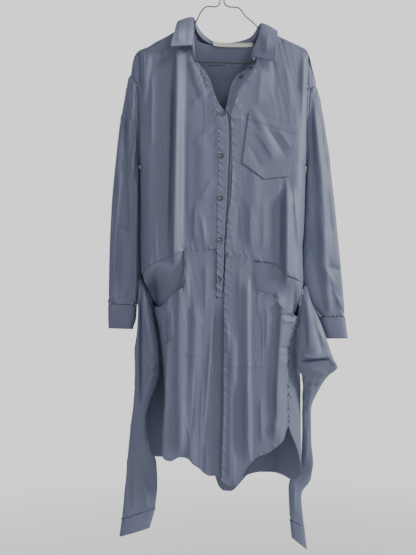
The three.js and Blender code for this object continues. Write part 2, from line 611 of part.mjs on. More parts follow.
// Takes the seam's gap off one piece where it would run into its neighbours.
function trim(name, ...neighbours) {
  const { mesh } = cloths.get(name);
  const cut = neighbours.reduce((left, other) => {
    const { surface, options } = cloths.get(other);
    const thick = (options.thick ?? CLOTH) + 2 * SEAM;
    const lift = (options.lift ?? 0) + SEAM;
    const grown = wall(other, surface, { ...options, thick, lift, spread: TRIM_SPREAD });
    return left.subtract(solid(grown)).subtract(solid(cloths.get(other).mesh));
  }, solid(mesh));
  const { vertProperties, triVerts } = cut.decompose().sort((a, b) => b.volume() - a.volume())[0].getMesh();
  mesh.geometry = new THREE.BufferGeometry()
    .setAttribute("position", new THREE.BufferAttribute(vertProperties, 3))
    .setIndex(new THREE.BufferAttribute(triVerts, 1));
  mesh.geometry.computeVertexNormals();
}

const dress = new THREE.Group();
const add = (...meshes) => dress.add(...meshes);

// Hanger
const under = WIRE_RADIUS + CLOTH + SEAM + UNDER_CLOTH;
const below = (x) => [x, shoulderZ(x) - under];
const hookPoint = (degrees) => {
  const angle = (degrees * Math.PI) / 180;
  return [HOOK_RADIUS * Math.cos(angle), WIRE_RADIUS - HOOK_RADIUS + HOOK_RADIUS * Math.sin(angle)];
};
const hookTurn = [-38, -10, 25, 60, 90, 120, 155, 185, 205].map(hookPoint);
const rightBend = [[-186, -207], [-191, -213], [-190, -221], [-183, -227], [-172, -229.2]];
const leftBend = [[190, -205], [196, -213], [196, -226], [188, -237], [174, -239.8]];
add(
  wire("hanger_hook", [[0, -59.3], [0, -52], [4, -44.5], [11, -37.5], ...hookTurn, [-20, -34]], 26),
  wire("hanger_arm_right", [[-1.8, -59.6], [-2.2, -68], [-4.7, -84], [-5.5, -95], [-13, -102.5],
    [-38, -103.5], [-51, -118], [-57, -130], [-63, -141], [-70, -147], [-79, -149.5],
    ...[-94, -103, -134, -157, -174].map(below), ...rightBend], 32),
  wire("hanger_arm_left", [[1.8, -59.6], [2.2, -68], [4.7, -84], [5.5, -95], [14, -102.5], [39, -106],
    [56, -126], [74, -141], [90, -157], ...[113, 129, 155, 176].map(below), ...leftBend], 32),
  wire("hanger_bar", [[-171.7, -229.2], [0, -234.6], [173.7, -239.8]], 4),
);

// Body
const sideFirst = (count) => steps(count).map((t) => t ** 1.5);
const sideLast = (count) => steps(count).map((t) => 1 - (1 - t) ** 1.5);
const frontTop = (x) => shoulderZ(x) - YOKE_FRONT - 1.5 * slant(shoulderZ, x);
const hipTop = (x) => hipZ(x) + slant(hipZ, x);
const hipFoot = (x) => hipZ(x) - slant(hipZ, x);
const holeLine = (z) => read(HOLE_SEAM, z, "x");
const buttonLine = (z) => read(BUTTON_SEAM, z, "x");
const crestAt = (rows, index, z) => {
  const f = rows.at(index);
  return mix(f.footX, f.topX, clamp((z - f.foot) / (f.top - f.foot)));
};
const chestFold = FRONT_FOLDS.findIndex((f) => f.topX === -106);
const sideFold = FRONT_FOLDS.findIndex((f) => f.topX === 148);
const frontRight = panel({
  columns: [0, 0.01, 0.04, 0.09, 0.16, 0.25, 0.34, 0.37, 0.41, 0.48, 0.58, 0.7, 0.8, 0.9, 1], rows: 14,
  top: frontTop, foot: hipTop, y: frontRightY,
  across: (u, z) => {
    const crest = crestAt(FRONT_FOLDS, chestFold, z);
    const flank = Math.min(crest + 28, -79);
    return along([[0, read(SIDES, z, "left")], [0.34, crest - 6], [0.37, crest], [0.58, flank],
      [1, holeLine(z) - 1.5 * slant(holeLine, z)]], u);
  },
});
const frontLeft = panel({
  columns: [0, 0.12, 0.24, 0.36, 0.48, 0.6, 0.63, 0.7, 0.77, 0.84, 0.91, 0.96, 0.99, 1], rows: 14,
  top: frontTop, foot: hipTop, y: frontY,
  across: (u, z) => {
    const crest = crestAt(FRONT_FOLDS, sideFold, z);
    return along([[0, buttonLine(z) + 2 * slant(buttonLine, z)], [0.6, crest - 8], [0.63, crest],
      [0.77, crest + 19], [1, read(SIDES, z, "right")]], u);
  },
});
const back = panel({
  columns: steps(16).map((t) => (1 - Math.cos(t * Math.PI)) / 2), rows: 10,
  top: (x) => yokeFootZ(x) - 1.5 * slant(yokeFootZ, x), foot: () => HIP_BACK_Z + SEAM, y: backY,
  across: (u, z) => mix(read(SIDES, z, "left"), read(SIDES, z, "right"), u),
});
sew("front_right", frontRight, { facing: -1 });
sew("front_left", frontLeft, { facing: -1 });
sew("back", back, { facing: 1 });
sew("yoke", yoke(), { facing: 1 });

// Front bands, collar and stand
const band = (name, from, to, y, columns) => sew(name, panel({
  columns: steps(columns), rows: 22, top: () => BAND_TOP, foot: () => BAND_FOOT, y,
  across: (u, z) => mix(from(z), to(z), u),
}), { facing: -1 });
band("buttonhole_band", holeLine, (z) => read(HOLE_EDGE, z, "x"), frontRightY, 2);
band("button_band", (z) => read(BUTTON_EDGE, z, "x"), buttonLine, buttonBandY, 3);

const curve = (columns) => new THREE.CatmullRomCurve3(
  COLLAR.map((row) => new THREE.Vector3(...columns.map((column) => row[column]))), false, "centripetal");
const neckSeam = curve(["nx", "ny", "nz"]);
const foldLine = curve(["fx", "fy", "fz"]);
const leafEdge = curve(["lx", "ly", "lz"]);
const between = (a, b, from, to, columns, rows) => steps(columns).map((u) => steps(rows).map((v) =>
  a.getPoint(u).lerp(b.getPoint(u), mix(from, to, v))));
sew("collar_stand", between(neckSeam, foldLine, 0.03, 0.9, 26, 2), { facing: -1 });
sew("collar", between(foldLine, leafEdge, 0.03, 1, 26, 3), { facing: 1, lift: CLOTH });

// Skirt and hip pockets
const straight = (rows) => (u, z) => mix(read(rows, z, "left"), read(rows, z, "right"), u);
const rightStep = (x) => clamp((x - MOUTH_RIGHT.at(-1).x) / MOUTH_STEP);
const leftStep = (x) => clamp((MOUTH_LEFT[0].x - x) / MOUTH_STEP);
const skirtTopRight = (x) => mix(read(MOUTH_RIGHT, x, "z"), hipFoot(x), rightStep(x));
const skirtTopLeft = (x) => mix(read(MOUTH_LEFT, x, "z"), hipFoot(x), leftStep(x));
const rightKnots = (z) => {
  const pleat = read(SKIRT_RIGHT, z, "pleat");
  const side = read(SKIRT_RIGHT, z, "side");
  const mouth = mix(MOUTH_RIGHT_X, mix(side, pleat, 0.5), smooth((-800 - z) / MOUTH_FALL));
  return [[0, side], [0.22, read(SKIRT_RIGHT, z, "crest")], [0.36, mouth], [0.38, mouth + 2], [0.74, pleat],
    [0.76, pleat + 1.6], [1, read(SKIRT_LEFT, z, "centre") + PLEAT_UNDERLAP]];
};
const leftKnots = (z) => {
  const centre = read(SKIRT_LEFT, z, "centre");
  const side = read(SKIRT_LEFT, z, "side");
  const mouth = mix(MOUTH_LEFT_X, mix(centre, side, 0.5), smooth((-820 - z) / MOUTH_FALL));
  return [[0, centre], [0.4, mouth], [0.42, mouth + 2], [0.82, mix(mouth, side, 0.72)], [1, side]];
};
const skirtRight = panel({
  columns: [0, 0.04, 0.09, 0.15, 0.22, 0.29, 0.36, 0.38, 0.46, 0.53, 0.6, 0.67, 0.74, 0.76, 0.88, 1],
  rows: 12, top: skirtTopRight, foot: (x) => read(HEM_RIGHT, x, "z"),
  y: skirtRightY, across: (u, z) => along(rightKnots(z), u),
});
const skirtLeft = panel({
  columns: [0, 0.1, 0.2, 0.3, 0.4, 0.42, 0.52, 0.62, 0.72, 0.82, 0.88, 0.93, 0.97, 1],
  rows: 12, top: skirtTopLeft, foot: (x) => read(HEM_LEFT, x, "z"),
  y: skirtLeftY, across: (u, z) => along(leftKnots(z), u),
});
const section = (z) => {
  const get = (column) => read(SKIRT_BACK, z, column);
  const depth = get("depth");
  const points = [[get("seamLx"), get("seamLy")], [get("outLx"), get("outLy")],
    [get("outLx") * 0.6, depth * 0.86], [0, depth], [get("outRx") * 0.6, depth * 0.86],
    [get("outRx"), get("outRy")], [get("seamRx"), get("seamRy")]];
  const stations = points.map(([x, y]) => new THREE.Vector3(x, y, z));
  return new THREE.CatmullRomCurve3(stations, false, "centripetal");
};
const BACK_U = [0, 0.05, 0.1, 0.15, 0.19, 0.24, 0.3, 0.36, 0.42, 0.465, 0.49, 0.535, 0.57, 0.61, 0.66, 0.71,
  0.76, 0.81, 0.85, 0.9, 0.95, 1];
const BACK_T = [[0, 0], [0.15, 1 / 6], [0.5, 0.5], [0.85, 5 / 6], [1, 1]];
const skirtBack = BACK_U.map((u) => {
  const foot = read(BACK_HEM, u, "z");
  return steps(12).map((v) => {
    const z = mix(HIP_BACK_Z - SEAM, foot, v);
    const point = section(z).getPoint(along(BACK_T, u));
    point.y += folds(SKIRT_BACK_FOLDS, point.x, z) * smooth(Math.min(u, 1 - u) / 0.3);
    return point;
  });
});
const bagY = (own, shift) => (x, z) => {
  const sewn = frontY(x, z) + CLOTH + SEAM + EDGE_HALF_DEPTH;
  return mix(sewn, own(x + shift, z) + POCKET_GAPE, smooth((hipZ(x) - z) / BAG_FALL));
};
const bagRight = panel({
  columns: sideFirst(8), rows: 8, top: hipFoot, foot: () => POCKET_FOOT,
  y: bagY(skirtRightY, -BAG_SHIFT), across: straight(table("z left right", [
    [-720, -186.5, -62], [-733, -185, -62], [-768, -172, -62], [-790, -162, -62], [-810, -150, -62],
    [-862, -137, -62], [-895, -132, -62],
  ])),
});
const bagLeft = panel({
  columns: sideLast(8), rows: 8, top: hipFoot, foot: () => POCKET_FOOT,
  y: bagY(skirtLeftY, BAG_SHIFT), across: straight(table("z left right", [
    [-752, 56, 189], [-790, 56, 179], [-815, 56, 170], [-830, 56, 164], [-871, 56, 150], [-908, 56, 142],
  ])),
});
sew("skirt_front_right", skirtRight, { facing: -1 });
sew("skirt_front_left", skirtLeft, { facing: -1 });
sew("skirt_back", skirtBack, { facing: 1 });
sew("hip_pocket_right", bagRight, { facing: -1 });
sew("hip_pocket_left", bagLeft, { facing: -1 });

// Chest pocket, on the left front's own surface
const corner = (name) => new THREE.Vector2(...CHEST_POCKET[name]);
const pocketPoint = (s, t) => {
  const top = corner("topLeft").lerp(corner("topRight"), s);
  const foot = s < 0.5
    ? corner("footLeft").lerp(corner("foot"), s * 2)
    : corner("foot").lerp(corner("footRight"), s * 2 - 1);
  return top.lerp(foot, t);
};
const chestPocket = steps(8).map((s) => steps(7).map((t) => {
  const { x, y: z } = pocketPoint(s, t);
  return onFront(cloths.get("front_left").mesh, x, z).point;
}));
sew("chest_pocket", chestPocket, { facing: -1, lift: SEAM + CLOTH });
trim("chest_pocket", "front_left");

// Sleeves, cuffs and the pair of tie sleeves at the hips
const armhole = (side, away) => (z) => {
  const edge = (at) => read(SIDES, at, side);
  return edge(z) + away * slant(edge, z);
};
const rightTube = { ring: true, facing: -1 };
const leftTube = { ring: true, facing: 1 };
const rightHole = armhole("left", -ARMHOLE_GAP);
const leftHole = armhole("right", ARMHOLE_GAP);
sew("sleeve_right", tube(SLEEVE_RIGHT, SLEEVE_RIGHT_FOLDS, 16, 1.2, rightHole), rightTube);
sew("sleeve_left", tube(SLEEVE_LEFT, SLEEVE_LEFT_FOLDS, 16, 1.2, leftHole), leftTube);
sew("cuff_right", tube(CUFF_RIGHT, [], 16, 1), { ...rightTube, thick: DOUBLE });
sew("cuff_left", tube(CUFF_LEFT, [], 16, 1), { ...leftTube, thick: DOUBLE });
sew("tie_sleeve_right", tube(TIE_RIGHT, TIE_RIGHT_FOLDS, 14, 1.1), rightTube);
sew("tie_sleeve_left", tube(TIE_LEFT, TIE_LEFT_FOLDS, 14, 1.1), leftTube);
sew("tie_cuff_right", tube(TIE_CUFF_RIGHT, [], 14, 2), { ...rightTube, thick: DOUBLE });
sew("tie_cuff_left", tube(TIE_CUFF_LEFT, [], 14, 2), { ...leftTube, thick: DOUBLE });

trim("front_right", "yoke", "buttonhole_band");
trim("front_left", "yoke", "button_band");
trim("back", "yoke");
trim("collar", "yoke");
trim("sleeve_right", "front_right", "back", "yoke");
trim("sleeve_left", "front_left", "back", "yoke");
trim("skirt_back", "front_left", "front_right");
trim("hip_pocket_right", "front_right", "back");
trim("hip_pocket_left", "front_left", "back");

// Buttons and the bare neck label
const holeBand = cloths.get("buttonhole_band").mesh;
const buttonBand = cloths.get("button_band").mesh;
CLOSED_BUTTONS.forEach(([x, z], i) => add(button(`button_${i + 3}`, holeBand, x, z)));
OPEN_BUTTONS.forEach(([x, z], i) => add(button(`button_${i + 1}`, buttonBand, x, z)));
const label = steps(4).map((s) => steps(1).map((t) => {
  const x = mix(LABEL.left, LABEL.right, s);
  const z = read(NECK, x, "z") + mix(LABEL.top, LABEL.foot, t);
  return new THREE.Vector3(x, yokeBackY(x, z) - CLOTH - SEAM - LABEL.slack, z);
}));
sew("neck_label", label, { facing: 1, thick: LABEL.thick, colour: "label" });

export default dress;
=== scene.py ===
"""Shirt dress on a wire hanger: the cloth, its seams and buttons, the hanger and the studio round them."""

import json
import math

import bmesh
import bpy
import numpy as np
from mathutils import Matrix, Vector


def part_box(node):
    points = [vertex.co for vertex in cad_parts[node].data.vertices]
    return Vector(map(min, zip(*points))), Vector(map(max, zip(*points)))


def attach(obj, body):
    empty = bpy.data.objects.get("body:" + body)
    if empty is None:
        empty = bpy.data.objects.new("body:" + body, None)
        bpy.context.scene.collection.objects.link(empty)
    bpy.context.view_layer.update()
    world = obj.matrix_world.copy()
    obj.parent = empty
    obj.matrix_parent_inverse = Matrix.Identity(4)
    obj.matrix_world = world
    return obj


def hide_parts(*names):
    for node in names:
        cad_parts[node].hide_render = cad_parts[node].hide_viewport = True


bl_info = {
    "name": "Shirt dress on a hanger",
    "version": (1, 0, 0),
    "blender": (4, 5, 0),
    "location": "3D View > Sidebar > Dress",
    "description": "Builds a hanging shirt dress with tie sleeves on its wire hanger",
    "category": "Object",
}

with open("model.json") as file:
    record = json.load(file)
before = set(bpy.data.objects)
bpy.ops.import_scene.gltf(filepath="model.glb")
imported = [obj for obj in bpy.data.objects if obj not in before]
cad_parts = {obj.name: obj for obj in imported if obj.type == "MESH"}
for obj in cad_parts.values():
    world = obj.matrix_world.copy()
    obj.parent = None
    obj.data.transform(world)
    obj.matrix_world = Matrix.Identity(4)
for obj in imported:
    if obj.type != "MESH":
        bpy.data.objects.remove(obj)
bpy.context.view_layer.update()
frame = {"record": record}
SLOTS = {m["slot"]: m for m in frame["record"]["materials"]}

# Sizes are in millimetres until a mesh is written. Left and right in the tables are as seen from the
# front; in the pieces' names they are the wearer's own.
MM = 0.001
CLOTH = 1.2  # wall of one layer of the solid
DOUBLE = 2  # wall of a cuff, two layers
ROLL = 30  # how far in from the side edge the body rounds over
YOKE_FRONT = 7  # how far the yoke comes forward below the shoulder ridge
YOKE_BACK_Z = -235  # yoke seam across the back
YOKE_END_DROP = 35  # yoke seam below the ridge where the shoulder falls away
LAP = 2.2  # how far the buttonhole side lies in front of the button side
LAP_RUN = 40  # width over which the front rises to that lap
ARMHOLE_TOP = -262
ARMHOLE_FOOT = -476
ARMHOLE_HALF_DEPTH = 17
ARMHOLE_TOP_DEPTH = 4  # half depth that the armhole keeps at its top
HIP_BACK_Z = -716  # hip seam across the back
BAND_TOP = -240
BAND_FOOT = -784
PLEAT_DEPTH = 9  # how far the centre pleat's underlay lies behind the front
PLEAT_UNDERLAP = 7  # how far the underlay runs on behind the other front
PLEAT_RISE = 6.5  # how much shallower the underlay lies at the foot of the bands
PLEAT_RISE_RUN = 45  # height over which it does
BAND_FOOT_SINK = 2.4  # how far the foot of the buttonhole band sinks into the pleat
BAND_FOOT_RUN = 30
POCKET_HEM = 20  # hem band along the chest pocket's mouth
POCKET_GAPE = 8  # hip pocket, front to bag
POCKET_FOOT = -895  # foot of the hip pocket bags
SIDE_DEPTH = 46  # where the right side seam lies in front of the middle
HIP_SIDE_DEPTH = 30  # the same at the hip seam
SKIRT_SIDE_DEPTH = 12  # where the left side seam lies in front of the middle
SKIRT_RIDGE_Z = -130  # height from which the skirt's thickness is read
MOUTH_RIGHT_X = -88  # inner ends of the hip pockets' mouths
MOUTH_LEFT_X = 72
EDGE_HALF_DEPTH = 0.4  # half depth at the body's side seams
FOLD_FADE = 45  # height over which a fold fades out at its ends
WIRE_RADIUS = 1.5
HOOK_RADIUS = 20  # of the wire's centre line
UNDER_CLOTH = 1.7  # how far the hanger's arms lie below the cloth


def mix(a, b, t):
    return a + (b - a) * t


def clamp(t):
    return np.clip(t, 0.0, 1.0)


def smooth(t):
    t = clamp(t)
    return t * t * (3 - 2 * t)


def rounded(t):
    return np.sqrt(1 - (1 - clamp(t)) ** 2)


def groove(away, middle, width, depth):
    """A round-bottomed groove, or a ridge, that runs along a line."""
    return depth * np.exp(-(((away - middle) / width) ** 2))


class Table:
    """Rows with named columns, read at a key on a smooth curve that never overshoots them."""

    def __init__(self, columns, rows):
        names = columns.split()
        grid = np.array(sorted(rows, key=lambda row: row[0]), float)
        self.key = grid[:, 0]
        self.column = {name: grid[:, i] for i, name in enumerate(names)}
        self.rows = [dict(zip(names, row)) for row in grid]

    def read(self, at, name):
        key, value = self.key, self.column[name]
        rise = np.diff(value) / np.diff(key)
        before, after = rise[:-1], rise[1:]
        turn = before * after <= 0
        inner = np.where(turn, 0, 2 * before * after / np.where(turn, 1, before + after))
        slope = np.concatenate([[rise[0]], inner, [rise[-1]]])
        at = np.clip(at, key[0], key[-1])
        i = np.clip(np.searchsorted(key, at, side="right") - 1, 0, len(key) - 2)
        h = key[i + 1] - key[i]
        t = (at - key[i]) / h
        ends = (1 + 2 * t) * (1 - t) ** 2 * value[i] + t * t * (3 - 2 * t) * value[i + 1]
        return ends + h * (t * (1 - t) ** 2 * slope[i] + t * t * (t - 1) * slope[i + 1])


# Outline of the hanging body at each height: its left and right edges.
SIDES = Table("z left right", [
    [-130, -213.5, 221], [-262, -213.5, 221], [-276, -206, 221], [-286, -201, 219], [-305, -197, 203],
    [-323, -195, 198], [-394, -194, 197], [-476, -193, 197], [-558, -192, 195], [-640, -192, 191],
    [-675, -191.5, 188], [-733, -190, 190], [-752, -189, 191],
])
# Ridge of the shoulders and, between them, the height that the neck would reach.
SHOULDER = Table("x z", [
    [-214, -262], [-209, -228], [-202, -212], [-193, -204], [-174, -197], [-157, -186], [-134, -174],
    [-103, -155], [-85, -143], [-76, -138], [-69, -134.5], [12, -124], [94, -151], [113, -160],
    [129, -169], [155, -182], [183, -195], [193, -200], [202, -209], [212, -247], [221.5, -284],
])
# Edge of the neck round the back.
NECK = Table("x z", [
    [-69, -135], [-66, -154], [-54, -182], [-21, -190], [1, -193], [42, -194], [75, -193], [89, -170],
    [94, -151.5],
])
# Half thickness of the hanging body, by the height below the shoulder ridge.
THICKNESS = Table("drop front back", [
    [0, 8, 8], [20, 11, 11], [60, 18, 16], [150, 32, 27], [300, 43, 37], [450, 51, 45], [560, 56, 50],
    [700, 60, 56], [900, 66, 64], [1080, 70, 70],
])
# Seam of each front band, and the band's free edge.
HOLE_SEAM = Table("z x", [
    [-133, -73], [-195, -71], [-230, -69.5], [-238, -66], [-265, -49], [-292, -38], [-318, -27],
    [-343, -18], [-371, -12], [-442, -11], [-482, -10], [-537, -12], [-653, -13], [-784, -14],
])
HOLE_EDGE = Table("z x", [
  [-240, -57], [-260, -40], [-283, -28], [-311, -19], [-337, -8], [-353, 4], [-362, 10], [-390, 14],
  [-443, 14], [-484, 12], [-549, 10], [-602, 7], [-655, 4], [-722, 2], [-784, -3],
])
BUTTON_SEAM = Table("z x", [
    [-150, 94], [-195, 87], [-218, 83], [-251, 76], [-283, 57], [-306, 41], [-341, 27], [-364, 20],
    [-422, 23], [-491, 23], [-560, 20], [-595, 13], [-653, 9], [-676, 6], [-784, 2],
])
BUTTON_EDGE = Table("z x turn", [
  [-238, 63, 18], [-253, 55, 18], [-262, 40, 17], [-281, 25, 14], [-311, 16, 8], [-344, 9, 4], [-362, 0, 0],
  [-397, -7, 0], [-559, -10, 0], [-784, -11, 0],
])
HIP_SEAM = Table("x z", [
    [-190, -733], [-187, -729], [-171, -712], [-143, -699], [-106, -685], [-86, -677], [-15, -674],
    [6, -685], [41, -690], [75, -699], [126, -709], [144, -729], [172, -743], [192, -752],
])

# Folds of the hanging cloth: where the crest runs, how wide each flank is and how far it stands out.
FOLD_COLUMNS = "top foot topX midX footX leftRun rightRun rise"
FRONT_FOLDS = Table(FOLD_COLUMNS, [
    [-190, -720, -106, -108, -112, 5, 26, 12], [-204, -345, -80, -62, -40, 14, 16, 3],
    [-196, -345, -169, -176, -183, 9, 11, 3.5], [-206, -298, -193, -191, -188, 6, 9, 3],
    [-525, -768, 148, 147, 146, 7, 18, 9], [-330, -470, 62, 95, 128, 16, 18, 3],
    [-400, -690, -45, -48, -52, 22, 26, 3], [-470, -690, 75, 72, 66, 24, 24, 3],
])
SKIRT_FOLDS = Table(FOLD_COLUMNS, [
  [-700, -1150, -96, -102, -98, 12, 26, 6],
  [-780, -1190, -62, -66, -72, 18, 20, 5],
  [-730, -1170, 58, 56, 62, 20, 9, 8],
  [-760, -1120, 138, 128, 118, 12, 24, 9],
  [-860, -1215, 24, 22, 18, 14, 18, 4],
])
BACK_FOLDS = Table(FOLD_COLUMNS, [
    [-260, -715, 96, 104, 112, 24, 9, 8], [-300, -715, -120, -124, -118, 10, 24, 7],
    [-380, -715, -28, -34, -40, 24, 26, 5], [-420, -715, 38, 44, 40, 22, 22, 4],
])
SKIRT_BACK_FOLDS = Table(FOLD_COLUMNS, [
  [-715, -1230, -118, -124, -130, 14, 28, 9],
  [-715, -1270, -40, -34, -20, 30, 22, 12],
  [-715, -1270, 40, 52, 66, 22, 30, -9],
  [-715, -1240, 112, 118, 128, 28, 14, 10],
])

# Mouths of the hip pockets, from the side to the point on the skirt where the hip seam takes over.
MOUTH_RIGHT = Table("x z", [
    [-168, -788], [-163, -800], [-157, -807], [-143, -806], [-127, -795], [-115, -779], [-104, -770],
    [-88, -761],
])
MOUTH_LEFT = Table("x z", [[74, -769], [98, -777], [121, -786], [134, -804], [155, -818], [174, -831]])
MOUTH_STEP = 2  # width over which a skirt front rises from the mouth to the hip seam
HEM_RIGHT = Table("x z", [
    [-141, -1134], [-138, -1147], [-129, -1156], [-118, -1158], [-97, -1149], [-81, -1151], [-67, -1165],
    [-51, -1176], [-44, -1185], [-28, -1193], [12, -1190],
])
HEM_LEFT = Table("x z", [
  [-8, -1189], [-1, -1203], [8, -1212], [24, -1215], [35, -1210], [45, -1196], [51, -1180], [63, -1164],
  [81, -1148], [104, -1139], [124, -1125], [138, -1112], [145, -1093], [151, -1080],
])
# Skirt front, wearer's right: side edge, crest of its rounded edge and edge of the centre pleat.
SKIRT_RIGHT = Table("z side crest pleat", [
    [-660, -164, -115, -14.6], [-784, -164, -116, -15], [-815, -159, -118, -19], [-862, -148, -120, -23],
    [-908, -141, -124, -26], [-940, -137, -126, -28], [-1019, -134, -129, -33], [-1090, -138, -133, -40],
    [-1176, -143, -136, -47],
])
# Skirt front, wearer's left: centre edge and side seam.
SKIRT_LEFT = Table("z centre side", [
    [-660, 8, 174], [-784, 3.4, 174], [-830, 3, 174], [-871, 3, 162], [-905, 2.5, 154], [-974, 2, 149],
    [-1019, 2, 149], [-1082, 0, 150], [-1110, -1, 150], [-1215, -3, 150],
])
# Section of the skirt back at each height: side seam and outermost point at each side, middle depth.
SKIRT_BACK = Table("z seamLx seamLy outLx outLy depth outRx outRy seamRx seamRy", [
    [-715, -190, 0.7, -191, 4, 51, 190, 8, 191, 1.2], [-730, -190, 0.7, -191, 4, 52, 191, 6, 192, 1.2],
    [-752, -180, -4, -190, 3, 53, 191, 4, 192, 0.2], [-768, -174, -7, -189, 2, 54, 189, 2, 186, -12],
    [-790, -165, -11, -188, 2, 55, 187, 0, 181, -22],
    [-830, -158, -11.5, -187, 3, 57, 184, -5, 176.5, -36],
    [-871, -148, -11.5, -187, 4, 59, 182, -8, 165, -44],
    [-908, -141, -11.5, -187, 5, 61, 182, -10, 157, -45.5],
    [-974, -138, -11, -187, 6, 64, 183, -12, 152, -45.5],
    [-1082, -150, -8, -186, 8, 68, 184, -12, 153, -45],
    [-1169, -170, -4, -183, 10, 71, 185, -10, 160, -40],
    [-1260, -180, 4, -180, 16, 74, 185, -4, 170, -30],
])
BACK_HEM = Table("u z", [
  [0, -935], [0.05, -990], [0.1, -1070], [0.15, -1133], [0.2, -1162], [0.27, -1169], [0.36, -1174],
  [0.42, -1190], [0.46, -1208], [0.475, -1222], [0.49, -1246], [0.51, -1256], [0.535, -1257], [0.56, -1244],
  [0.6, -1214], [0.66, -1209], [0.72, -1209], [0.78, -1219], [0.83, -1208], [0.88, -1180], [0.94, -1127],
  [1, -1084],
])

# Tubes: outer and inner edge of each ring as seen from the front, the ring's middle depth and half depth.
TUBE_COLUMNS = "row outX outZ inX inZ y half"
SLEEVE_RIGHT = Table(TUBE_COLUMNS, [
    [0, -213.5, -264, -193, -475, 0, 17], [1, -220, -272, -196, -482, 0, 18],
    [2, -225, -296, -193.2, -492, 0, 19], [3, -232, -335, -192.4, -506, -1, 19],
    [4, -242, -393, -191.9, -529, -2, 19], [5, -248, -452, -191.2, -557, -3, 18],
    [6, -254, -510, -190.9, -588, -4, 17], [7, -259, -569, -190.8, -623, -4, 16],
    [8, -263, -639, -190.5, -668, -3, 15], [9, -265, -703, -190, -714, -2, 15],
    [10, -266, -757, -192, -761, -1, 14], [11, -267, -801, -197, -803, 0, 13],
])
SLEEVE_LEFT = Table(TUBE_COLUMNS, [
  [0, 221, -286, 197, -475, 0, 17], [1, 226, -300, 200, -484, 0, 18], [2, 230, -322, 197.6, -496, 0, 19],
  [3, 236, -360, 196.4, -512, 0, 19], [4, 242, -400, 195.4, -536, 0, 19], [5, 251, -452, 194, -564, 1, 18],
  [6, 258, -510, 192.4, -600, 1, 18], [7, 265, -569, 190.6, -640, 2, 17],
  [8, 272, -639, 187.6, -686, 2, 16],
  [9, 279, -710, 188.6, -738, 2, 15], [10, 284, -768, 198, -786, 2, 14], [11, 288, -831, 220, -832, 2, 13],
])
CUFF_RIGHT = Table(TUBE_COLUMNS, [
    [0, -267, -801.6, -200, -803.6, 0, 13], [1, -267, -830, -202, -833, 0, 13],
    [2, -266, -858, -210, -860, 0, 12],
])
CUFF_LEFT = Table(TUBE_COLUMNS, [
  [0, 288.5, -831.6, 225, -832.6, 2, 13], [1, 292, -858, 234, -858, 2, 13],
  [2, 295, -882, 241, -882, 2, 12],
])
TIE_RIGHT = Table(TUBE_COLUMNS, [
    [0, -196.6, -736, -190.6, -736, -1.5, 2.2], [1, -196, -768, -178, -768, -14, 7],
    [2, -196, -815, -164, -815, -21, 9], [3, -198, -862, -153, -862, -24, 10],
    [4, -203, -908, -146, -908, -24, 10], [5, -202, -955, -145, -955, -24, 10],
    [6, -203, -990, -153, -990, -23, 10], [7, -206, -1030, -169, -1030, -22, 9],
    [8, -212, -1075, -177, -1070, -20, 9], [9, -218, -1130, -168, -1130, -18, 9],
    [10, -222, -1172, -153, -1172, -16, 9], [11, -227, -1235, -151, -1222, -14, 10],
    [12, -234, -1302, -156, -1276, -12, 10],
])
TIE_LEFT = Table(TUBE_COLUMNS, [
  [0, 192.4, -755, 198, -756, -0.8, 2.2], [1, 184, -792, 205, -792, -34, 6],
  [2, 177.5, -850, 229, -850, -50, 8],
  [3, 172, -897, 245, -897, -54, 9], [4, 170.5, -925, 255, -925, -55, 10],
  [5, 173.5, -946, 264, -946, -50, 10],
  [6, 184, -967, 244, -967, -40, 10], [7, 187.5, -1000, 224, -1000, -28, 9],
  [8, 187.5, -1048, 208, -1048, -14, 8],
  [9, 188, -1118, 210, -1118, 4, 8], [10, 188, -1177, 217, -1180, 26, 8],
  [11, 170, -1208, 213, -1222, 46, 8],
  [12, 160, -1245, 191, -1262, 48, 9], [13, 163, -1320, 197, -1336, 48, 9],
])
TIE_CUFF_RIGHT = Table(TUBE_COLUMNS, [
    [0, -234.5, -1303, -156, -1276.7, -12, 10], [1, -240, -1344, -169, -1323, -12, 9],
])
TIE_CUFF_LEFT = Table(TUBE_COLUMNS, [
  [0, 163, -1320.7, 197.5, -1336.7, 48, 9], [1, 168, -1362, 204, -1390, 48, 8],
])
# Folds along a tube's front: rows that it runs over, place across (-1 outer, 1 inner), half width, rise.
TUBE_FOLD_COLUMNS = "from to across width rise"
SLEEVE_RIGHT_FOLDS = Table(TUBE_FOLD_COLUMNS, [
    [0.5, 5, 0.35, 0.28, 8], [4, 11, 0.72, 0.25, 7], [5, 10, -0.55, 0.25, 5],
])
SLEEVE_LEFT_FOLDS = Table(TUBE_FOLD_COLUMNS, [[1, 9, -0.3, 0.4, 7], [7, 11, -0.1, 0.3, 8]])
TIE_RIGHT_FOLDS = Table(TUBE_FOLD_COLUMNS, [
    [0.5, 7.5, 0.35, 0.6, 6],
])
TIE_LEFT_FOLDS = Table(TUBE_FOLD_COLUMNS, [[0.5, 4.6, 0, 0.9, 7]])

